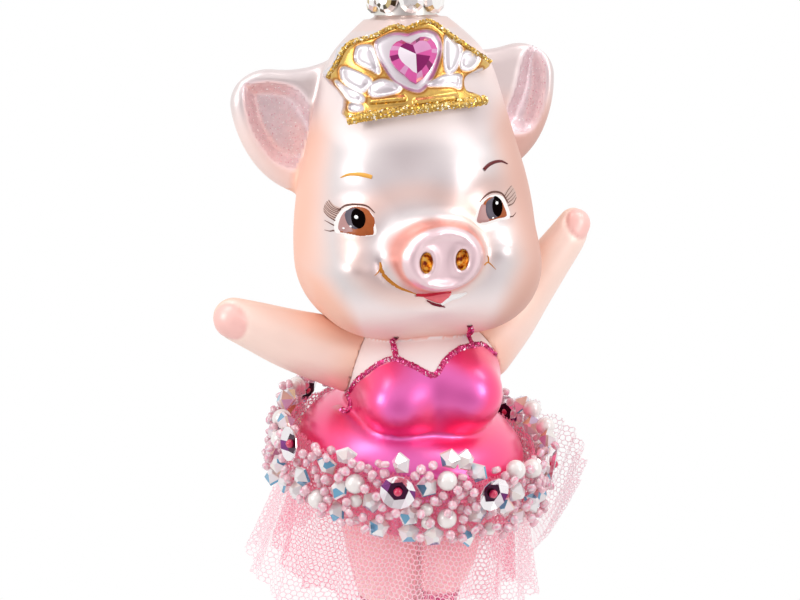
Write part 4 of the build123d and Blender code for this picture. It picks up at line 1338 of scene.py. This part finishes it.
def tiara_field(points):
    u, v, local = tiara_local(points)
    front = np.hypot(local[:, 0], local[:, 1]) - (tiara_base_radius - v * tiara_slope + tiara_relief(u, v))
    body = smooth_cut(tiara_edge(u, v), np.maximum(front, local[:, 1] + tiara_back), tiara_rim_edge)
    return smooth_cut(body, tiara_seat - head_field(points), tiara_seat_edge)


def tiara():
    piece = field_piece("tiara_relief", tiara_field, *node_box("tiara", 1.2), tiara_step)
    u, v, local = tiara_local(points_of(piece))
    near = np.minimum(pane_distance(u, v), heart_table(u, v))
    on_front = fade(-local[:, 1], 3, 6)
    sides = fade(tiara_base_radius - v * tiara_slope - np.hypot(local[:, 0], local[:, 1]), 0.7, 1.5)
    # Crease: painted shade along the edges of the panes
    add_masks(piece, pane=np.maximum(smooth_mask(near - 0.3, 0.4) * on_front, sides),
              crease=np.exp(-((near - crease_shade_place) / crease_shade_width) ** 2) * on_front * (1 - sides))
    finished(piece, "tiara", "gilt_glass", "gold")


tiara()


# Heart stone: a table of eight facets inside a ring of crown facets. The pink stone's facets are coloured
# white, light pink, pink and plum, which paints its highlights, reflections and shade
def heart_stone():
    centre = np.array(heart_centre)
    girdle = closed_curve(heart_outline, 2)
    middle = girdle.mean(0) + heart_table_shift
    turn = atan2(heart_centre[0], tiara_base_radius)
    radius = tiara_base_radius - centre[1] * tiara_slope
    seat = crown_frame @ moved(centre[0], -sqrt(radius ** 2 - centre[0] ** 2), tiara_base_rise + centre[1]) \
        @ turned(z=degrees(turn)) @ turned(x=90 - tiara_lean)
    count = len(girdle)
    points = [tuple(seat @ Vector((*(middle - centre), heart_height + heart_table_rise)))]
    for share, lift in heart_levels:
        ring = [middle + (place - middle) * share - centre for place in girdle]
        points += [tuple(seat @ Vector((*place, lift))) for place in ring]
    top = 1 + 2 * count
    faces = quads(3, count, 1) + [(0, top + i, top + (i + 1) % count) for i in range(count)]
    tones = [2] * count + [heart_crown_light_tones[i % len(heart_crown_light_tones)] for i in range(count)]
    tones += [heart_table_light_tones[i * len(heart_table_light_tones) // count] for i in range(count)]
    piece = plain_mesh("heart_stone", points, faces, smooth=False)
    finished(piece, "heart_crystal", "heart_stone", "heart_white", "heart_lit_pink", "heart_pink", "heart_plum")
    piece.data.polygons.foreach_set("material_index", tones)


heart_stone()


# Geometry Nodes: what the trees of the glitter and the beads share
def started_tree(name, *named):
    tree = bpy.data.node_groups.new(name, "GeometryNodeTree")
    for label, kind, value in [("Geometry", "Geometry", None), *named]:
        socket = tree.interface.new_socket(label, in_out="INPUT", socket_type="NodeSocket" + kind)
        if value is not None:
            socket.default_value = value
    tree.interface.new_socket("Geometry", in_out="OUTPUT", socket_type="NodeSocketGeometry")
    return tree, node(tree, "NodeGroupInput").outputs, node(tree, "NodeGroupOutput").inputs[0]


def random_value(tree, low, high, seed):
    made = node(tree, "FunctionNodeRandomValue", {"data_type": "FLOAT"}, Min=low, Max=high, Seed=seed)
    return next(socket for socket in made.outputs if socket.enabled)


# A direction, turned further by three random angles times an amount
def tumbled(tree, direction, amount, spreads, seed):
    angles = [random_value(tree, -spread, spread, seed + i) for i, spread in enumerate(spreads)]
    thrown = node(tree, "ShaderNodeCombineXYZ", X=angles[0], Y=angles[1], Z=angles[2]).outputs[0]
    turn = node(tree, "FunctionNodeEulerToRotation", Euler=vector_maths(tree, "SCALE", thrown, amount))
    both = node(tree, "FunctionNodeRotateRotation", {"rotation_space": "LOCAL"})
    wired(tree, direction, both.inputs[0])
    wired(tree, turn.outputs[0], both.inputs[1])
    return both.outputs[0]


def realized(tree, geometry, look):
    real = node(tree, "GeometryNodeRealizeInstances", Geometry=geometry)
    return node(tree, "GeometryNodeSetMaterial", Geometry=real.outputs[0], Material=look).outputs[0]


def shown_result(piece, tree, values):
    holder = piece.modifiers.new("nodes", "NODES")
    holder.node_group = tree
    for socket in tree.interface.items_tree:
        if socket.in_out == "INPUT" and socket.name in values:
            holder[socket.identifier] = values[socket.name]
    bpy.context.view_layer.update()
    seen = piece.evaluated_get(bpy.context.evaluated_depsgraph_get())
    mesh = bpy.data.meshes.new_from_object(seen)
    piece.modifiers.remove(holder)
    old = piece.data
    piece.data = mesh
    mesh.name = piece.name
    bpy.data.meshes.remove(old)


# Glitter: flat flakes thrown on a glue line, each turned and tilted its own way
def glitter_tree():
    tree, given, end = started_tree("glitter", ("Density", "Float", 1e6), ("Radius", "Float", 0.0002),
                                    ("Tilt", "Float", 0.7), ("Seed", "Int", 1), ("Look", "Material", None))
    scatter = node(tree, "GeometryNodeDistributePointsOnFaces", Mesh=given["Geometry"],
                   Density=given["Density"], Seed=given["Seed"]).outputs
    flake = node(tree, "GeometryNodeMeshCircle", {"fill_type": "NGON"}, Vertices=flake_sides,
                 Radius=given["Radius"])
    turn = tumbled(tree, scatter["Rotation"], given["Tilt"], flake_turns, 11)
    thrown = node(tree, "GeometryNodeInstanceOnPoints", Points=scatter["Points"], Instance=flake.outputs[0],
                  Rotation=turn, Scale=random_value(tree, *flake_sizes, 14))
    shaded = node(tree, "GeometryNodeStoreNamedAttribute", {"data_type": "FLOAT", "domain": "INSTANCE"},
                  Geometry=thrown.outputs[0], Name="shade", Value=random_value(tree, 0.0, 1.0, 15))
    both = node(tree, "GeometryNodeJoinGeometry")
    tree.links.new(realized(tree, shaded.outputs[0], given["Look"]), both.inputs[0])
    tree.links.new(given["Geometry"], both.inputs[0])
    tree.links.new(both.outputs[0], end)
    return tree


glitter = glitter_tree()


def glittered(name, net, glue, flakes, density, radius, node_name, tilt=0.6, seed=1):
    piece = plain_mesh(name, *net)
    piece.data.materials.append(looks[glue])
    shown_result(piece, glitter, {"Density": density / mm ** 2, "Radius": radius * mm, "Tilt": tilt,
                                  "Seed": seed, "Look": looks[flakes]})
    placed(piece, node_name)


# Round beads of glue, each along a line of points with outward directions
def glue_lines(lines, width, height):
    parts = []
    for line, outs in lines:
        points = []
        for i, place in enumerate(line):
            side = np.cross(line[min(i + 1, len(line) - 1)] - line[max(i - 1, 0)], outs[i])
            side = side / np.linalg.norm(side)
            for share in (-1, -0.6, 0, 0.6, 1):
                rise = height * sqrt(max(1 - share * share, 0))
                points.append(place + side * share * width / 2 + outs[i] * rise)
        parts.append((points, quads(len(line), 5, closed=False)))
    return joined(*parts)


def skin_line(route, place):
    line, outs = [], []
    for across, up in open_curve(route, 6):
        hit, normal = cast(place, (across, -ray_start, up), (0, 1, 0))
        if hit is None:
            hit, normal = skin_tree.find_nearest(place @ Vector((across, -side_depth, up)))[:2]
        line.append(np.array(hit))
        outs.append(np.array(normal))
    return np.array(line), np.array(outs)


neckline_lines = [skin_line(route, bust_frame) for route in (neckline, *straps)]
glittered("neckline_sparkle", glue_lines(neckline_lines, neckline_width, 0.35), "glue_pink", "pink_flakes",
          9.0, 0.26, "neckline_glitter")


def tiara_line(route, lift):
    line, outs = [], []
    lean = radians(tiara_lean)
    for u, v in open_curve(route, 4):
        radius = tiara_base_radius - v * tiara_slope + lift
        line.append(crown_frame @ Vector((u, -sqrt(radius ** 2 - u ** 2), tiara_base_rise + v)))
        way = Vector((u / radius * cos(lean), -sqrt(1 - (u / radius) ** 2) * cos(lean), sin(lean)))
        outs.append(crown_frame.to_3x3() @ way)
    return np.array([tuple(point) for point in line]), np.array([tuple(way) for way in outs])


foot_glue = glue_lines([tiara_line(tiara_foot, tiara_rib)], tiara_foot_width, 0.7)
edge_glue = glue_lines([tiara_line(route, 0.2) for route in tiara_edge_routes], tiara_edge_width, 0.6)
glittered("tiara_sparkle", joined(foot_glue, edge_glue), "glue_gold", "gold_flakes", 8.0, 0.26,
          "tiara_glitter")


# Fine glitter in the bowls of the ears
crown_points = inside(skin_points, crown_frame)
in_bowls = (bowl_distance(crown_points) < -0.3) & (crown_points[:, 1] < ear_back + ear_bowl_depth / 2)
in_bowls &= head_core(skin_points) > 1.2
glittered("ear_sparkle", lifted_part(skin, in_bowls, 0.05), "ear_glaze", "pale_flakes", 2.4, 0.17, None,
          tilt=0.5, seed=8)

# Slippers: glitter lacquer over the feet
feet = [lifted_part(leg, points_of(leg)[:, 2] < top, slipper_gap)
        for leg, top in ((leg_right, right_slipper_top), (leg_left, left_slipper_top))]
glittered("slipper_sparkle", joined(*feet), "glue_pink", "pink_flakes", 6.5, 0.27, "slipper_glitter",
          tilt=0.35, seed=3)


# Belt of beads round the heading band
def band_place(angle, height, lift):
    middle = (band_top + band_bottom) / 2
    share = (height - middle) / (band_top - middle)
    radius = band_radius - band_bulge * share * share + lift
    return np.array([radius * cos(radians(angle)), radius * sin(radians(angle)), height])


def laid_beads():
    chance = random.Random(belt_seed)
    laid = []

    def fits(place, radius, slack):
        return all(np.linalg.norm(place - other) > (radius + reach) * slack for other, reach, *_ in laid)

    for angle, height, kind in chosen_beads:
        radius = bead_sizes[kind]
        laid.append((band_place(angle, height, bead_gap + radius * bead_seat[kind]), radius, kind, angle))
    for kind, tries, slack, lifts in bead_rounds:
        for _ in range(tries):
            angle = chance.uniform(0, 360)
            edge = belt_top_extra * cos(radians(angle + 90) * 3) + belt_top_extra
            height = chance.uniform(belt_low, belt_high + edge)
            lift = bead_gap + bead_sizes[kind] * bead_seat[kind] + chance.uniform(*lifts)
            place = band_place(angle, height, lift)
            if fits(place, bead_sizes[kind], slack):
                laid.append((place, bead_sizes[kind], kind, angle))
    return laid


belt = laid_beads()


def bead_tree():
    tree, given, end = started_tree("beads", ("Bead", "Object", None), ("Tumble", "Float", 3.1),
                                    ("Seed", "Int", 1), ("Look", "Material", None))
    bead = node(tree, "GeometryNodeObjectInfo", Object=given["Bead"])
    out = node(tree, "GeometryNodeInputNamedAttribute", {"data_type": "FLOAT_VECTOR"}, Name="out").outputs[0]
    size = node(tree, "GeometryNodeInputNamedAttribute", {"data_type": "FLOAT"}, Name="size").outputs[0]
    align = node(tree, "FunctionNodeAlignRotationToVector", {"axis": "Z"}, Vector=out)
    turn = tumbled(tree, align.outputs[0], given["Tumble"], bead_turns, 21)
    strewn = node(tree, "GeometryNodeInstanceOnPoints", Points=given["Geometry"],
                  Instance=bead.outputs["Geometry"], Rotation=turn, Scale=size)
    tree.links.new(realized(tree, strewn.outputs[0], given["Look"]), end)
    return tree


beads = bead_tree()


def faceted(name, points, faces, shades=None, smooth=False):
    piece = plain_mesh(name, np.array(points, float), faces, smooth)
    if shades is not None:
        piece.data.attributes.new("shade", "FLOAT", "FACE").data.foreach_set("value", shades)
    return piece


def lathe_points(outline, count):
    return [(radius * cos(2 * pi * i / count), radius * sin(2 * pi * i / count), height)
            for radius, height in outline for i in range(count)]


# A bead turned from an outline. Its facets take their shades in order, some steps apart
def bead_shape(name, outline, count, smooth=True, shade_step=None):
    faces = quads(len(outline), count)
    if outline[0][0] > 0.01:
        faces.append(tuple(reversed(range(count))))
    if outline[-1][0] > 0.01:
        faces.append(tuple((len(outline) - 1) * count + i for i in range(count)))
    shades = None
    if shade_step:
        shades = [facet_order[(i * shade_step) % len(facet_order)] for i in range(len(faces))]
    return faceted(name, lathe_points(outline, count), faces, shades, smooth)


def ball_outline(steps):
    turns = [-pi / 2 + pi * (i + 0.5) / steps for i in range(steps)]
    return [(cos(turn), sin(turn)) for turn in turns]


def strung(name, kind, shape, look, node_name, tumble=3.1, seed=1):
    chosen = [bead for bead in belt if bead[2] == kind]
    places, sizes, _, angles = zip(*chosen)
    piece = plain_mesh(name, outside(places, body_frame), [])
    ways = outside([(cos(radians(angle)), sin(radians(angle)), 0) for angle in angles], body_turn)
    piece.data.attributes.new("out", "FLOAT_VECTOR", "POINT").data.foreach_set("vector", ways.ravel())
    piece.data.attributes.new("size", "FLOAT", "POINT").data.foreach_set("value", sizes)
    shown_result(piece, beads, {"Bead": shape, "Tumble": tumble, "Seed": seed, "Look": looks[look]})
    bpy.data.objects.remove(shape)
    placed(piece, node_name)


# Cup sequin: a six-sided floor inside a faceted rim of twelve sides
def cup_sequin():
    points = [(cos(pi * i / 6), sin(pi * i / 6), 0.22) for i in range(12)]
    points += [(0.6 * cos(pi * k / 3), 0.6 * sin(pi * k / 3), 0.0) for k in range(6)]
    points += [(x, y, z - sequin_wall) for x, y, z in points]
    faces, shades = [tuple(range(12, 18)), tuple(reversed(range(30, 36)))], [0.1, 0.1]
    for k in range(6):
        outer, inner, after = 2 * k, 12 + k, 12 + (k + 1) % 6
        rim = [(inner, outer, outer + 1), (inner, outer + 1, after), (after, outer + 1, (outer + 2) % 12)]
        faces += rim + [tuple(index + 18 for index in reversed(face)) for face in rim]
        shades += [sequin_order[k], sequin_order[k], sequin_order[(k + 3) % 6]] * 2
    for i in range(12):
        faces.append((i, i + 18, (i + 1) % 12 + 18, (i + 1) % 12))
        shades.append(0.7)
    return faceted("sequin_shape", points, faces, shades)


pearl_shape = bead_shape("pearl_shape", ball_outline(9), 14)
small_shape = bead_shape("small_shape", ball_outline(7), 12)
seed_shape = bead_shape("seed_shape", seed_outline, 8, shade_step=3)
crystal_shape = bead_shape("crystal_shape", crystal_outline, 5, smooth=False, shade_step=5)
centre_shape = bead_shape("centre_shape", ball_outline(5), 10)
strung("pearls_of_belt", "pearl", pearl_shape, "pearl", "pearls_large")
strung("small_pearls_of_belt", "small", small_shape, "pearl", "pearls_small", seed=2)
strung("seeds_of_belt", "seed", seed_shape, "seed", "seed_beads", seed=3)
strung("crystals_of_belt", "crystal", crystal_shape, "crystal", "crystal_beads", 2.2, 4)
strung("sequins_of_belt", "sequin", cup_sequin(), "sequin", "sequins", 0.35, 5)
strung("sequin_centres", "centre", centre_shape, "sequin_bead", "sequin_beads", seed=6)


# Cloth: a sheet of net in rings round the body, laid out on its flat measures, with its hem lifted in front
def cloth_strip(name, rings, start, sweep, folds, gather, look, node_name, slot, seed, hem=0.0, lift=0.0):
    chance = random.Random(seed)
    columns, rows = folds * fold_columns, cloth_rows
    fold_turn = [chance.uniform(*fold_turns) for i in range(folds + 1)]
    fold_size = [chance.uniform(*fold_sizes) for i in range(folds + 1)]
    hem_drop = [chance.uniform(-hem, hem) for i in range(folds * 2 + 1)]
    spots = np.linspace(0, 1, len(rings))
    radii, heights, waves = np.array(rings, float).T
    along = np.concatenate([[0], np.cumsum(np.hypot(np.diff(radii), np.diff(heights)))])
    hem_way = np.sign(heights[-1] - heights[0])
    length = radians(sweep) * (sum(radii) / len(rings)) * gather
    points, layout = [], []
    for row in range(rows + 1):
        share = row / rows
        radius, height, wave, down = [np.interp(share, spots, steps)
                                      for steps in (radii, heights, waves, along)]
        for column in range(columns + 1):
            turn = column / columns
            fold = turn * folds
            lean = np.interp(fold, range(folds + 1), fold_turn)
            size = np.interp(fold, range(folds + 1), fold_size)
            ragged = np.interp(turn * folds * 2, range(folds * 2 + 1), hem_drop) * share ** 3
            ripple = sin(2 * pi * fold + lean * fold_lean * share) * size
            ripple += small_fold_depth * sin(2 * pi * fold * small_fold_rate + seed)
            angle = radians(start + sweep * turn) + fold_shift * lean * share
            front = (start + sweep * turn - front_angle) / front_width
            ragged -= lift * np.exp(-front ** 2) * share ** 2
            reach = radius + wave * ripple
            points.append((reach * cos(angle), reach * sin(angle), height + ragged * hem_way))
            layout.append((turn * length, down + ragged))
    piece = plain_mesh(name, outside(points, body_frame), quads(rows + 1, columns + 1, closed=False))
    uv = piece.data.uv_layers.new(name="cloth")
    for loop in piece.data.loops:
        uv.data[loop.index].uv = layout[loop.vertex_index]
    finished(piece, node_name, slot, look)


cloth_strip("net_outer", outer_rings, 91, 358, 19, 1.15, "net_pale", "tulle_outer", "pale_tulle", 5, 2.2,
            lift=5.0)
cloth_strip("net_inner", inner_rings, 91, 358, 15, 1.15, "net_salmon", "tulle_inner", "salmon_tulle", 9, 1.5,
            lift=3.0)
cloth_strip("net_ruffle", ruffle_rings, -35, 130, 11, 1.3, "net_pale", "tulle_ruffle", "pale_tulle", 3, 1.6)
cloth_strip("net_heading", heading_rings, 91, 358, 40, 1.1, "net_band", "tutu_band", "ribbon", 7, 0.3)

# Cap and wire keep their solids
for node_name, look in (("neck_cap", "cap"), ("hanger_loop", "wire")):
    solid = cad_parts[node_name]
    solid.data.materials.clear()
    solid.data.materials.append(looks[look])


# The cap's stones are cut and foiled. Their facets are coloured white, gold and near black at random, which
# paints glints and dark reflections
def cap_stones():
    chance = random.Random(stone_seed)
    count = stone_sides
    outline = [(stone_radius * radius, stone_radius * height) for radius, height in stone_outline]
    stones, shades = [], []
    for index in range(stone_count):
        seat = turned(z=360 * index / stone_count + stone_first_angle)
        seat = seat @ moved(cap_radius + stone_gap, 0, stone_height) @ turned(y=90)
        points = [tuple(seat @ Vector(point)) for point in lathe_points(outline, count)]
        table = tuple(3 * count + i for i in range(count))
        stones.append((points, quads(len(outline), count) + [table]))
        shades += [glint_tone if chance.random() < glint_share else chance.random() for i in range(3 * count)]
        shades.append(glint_tone)
    finished(faceted("cap_stones", *joined(*stones), shades), "cap_rhinestones", "rhinestone", "stone")


cap_stones()

# Camera
scene = bpy.context.scene
azimuth, elevation = radians(camera_azimuth), radians(camera_elevation)
away = Vector((sin(azimuth) * cos(elevation), -cos(azimuth) * cos(elevation), sin(elevation)))
camera_data = bpy.data.cameras.new("camera")
camera_data.lens = camera_lens
camera_data.clip_start = camera_near
camera = bpy.data.objects.new("camera", camera_data)
scene.collection.objects.link(camera)
camera.location = (Vector(camera_target) + away * camera_distance) * mm
camera.rotation_euler = away.to_track_quat("Z", "Y").to_euler()
scene.camera = camera


# Light: soft boxes at the sides and above, grey cards in front and above, and a pale world
def soft_box(name, place, width, height, power):
    light = bpy.data.lights.new(name, "AREA")
    light.shape = "RECTANGLE"
    light.size, light.size_y = width, height
    light.energy = power
    lamp = bpy.data.objects.new(name, light)
    lamp.location = place
    lamp.rotation_euler = (Vector(place) - Vector(light_target)).to_track_quat("Z", "Y").to_euler()
    scene.collection.objects.link(lamp)


# A value that goes smoothly from low to high as a place leaves the middle
def fading(tree, scale, near, far, low=0.0, high=1.0):
    reach = vector_maths(tree, "LENGTH", vector_maths(tree, "DIVIDE", object_place(tree), scale))
    spread = node(tree, "ShaderNodeMapRange", {"interpolation_type": "SMOOTHSTEP"}, Value=reach,
                  From_Min=near, From_Max=far, To_Min=low, To_Max=high)
    return spread.outputs[0]


# A card that is greyest in the middle and fades out to the white of the room
def flag_card(name, place, width, height, grey):
    half = np.array([(-1, -1), (1, -1), (1, 1), (-1, 1)]) * (width / 2, height / 2)
    card = plain_mesh(name, [(x / mm, 0, z / mm) for x, z in half], [(0, 1, 2, 3)], smooth=False)
    card.location = place
    card.rotation_euler = (Vector(light_target) - Vector(place)).to_track_quat("Y", "Z").to_euler()
    made, tree = new_material(name)
    strength = fading(tree, (width / 2, 1, height / 2), *flag_fade, grey)
    glow = node(tree, "ShaderNodeEmission", Color=(*flag_tint, 1), Strength=strength)
    tree.links.new(glow.outputs[0], surface_of(tree))
    card.data.materials.append(made)
    for ray in ("camera", "diffuse", "shadow", "transmission"):
        setattr(card, "visible_" + ray, False)


for box in soft_boxes:
    soft_box(*box)
for card in flag_cards:
    flag_card(*card)

world = bpy.data.worlds.new("studio")
world.use_nodes = True
scene.world = world
sky = world.node_tree
white = (1, 1, 1, 1)
plain = sky.nodes["Background"]
plain.inputs["Color"].default_value = white
plain.inputs["Strength"].default_value = world_light
seen = node(sky, "ShaderNodeBackground", Color=white, Strength=1)
rays = node(sky, "ShaderNodeLightPath").outputs
mirrored = maths(sky, "MAXIMUM", rays["Is Camera Ray"], rays["Is Glossy Ray"])
either = maths(sky, "MAXIMUM", mirrored, rays["Is Transmission Ray"])
shown_sky = mixed_shaders(sky, either, plain.outputs[0], seen.outputs[0])
sky.links.new(shown_sky, sky.nodes["World Output"].inputs["Surface"])


# Floor: a pale disc under the feet that keeps the shadow and fades out into the white
def pale_floor():
    turns = [2 * pi * i / floor_sides for i in range(floor_sides)]
    ring = [(floor_radius * cos(turn) / mm, floor_radius * sin(turn) / mm, 0) for turn in turns]
    floor = plain_mesh("floor", ring, [tuple(range(floor_sides))], smooth=False)
    floor.location = (0, 0, floor_height * mm)
    made, tree = new_material("floor_white")
    shader = tree.nodes["Principled BSDF"]
    for name, value in (("Base Color", white), ("Roughness", floor_roughness), ("Specular IOR Level", 0.0)):
        shader.inputs[name].default_value = value
    share = fading(tree, (1, 1, 1), floor_solid_radius, floor_radius * floor_fade_share)
    clear = node(tree, "ShaderNodeBsdfTransparent").outputs[0]
    tree.links.new(mixed_shaders(tree, share, shader.outputs[0], clear), surface_of(tree))
    floor.data.materials.append(made)


pale_floor()
scene.view_settings.view_transform = "Standard"
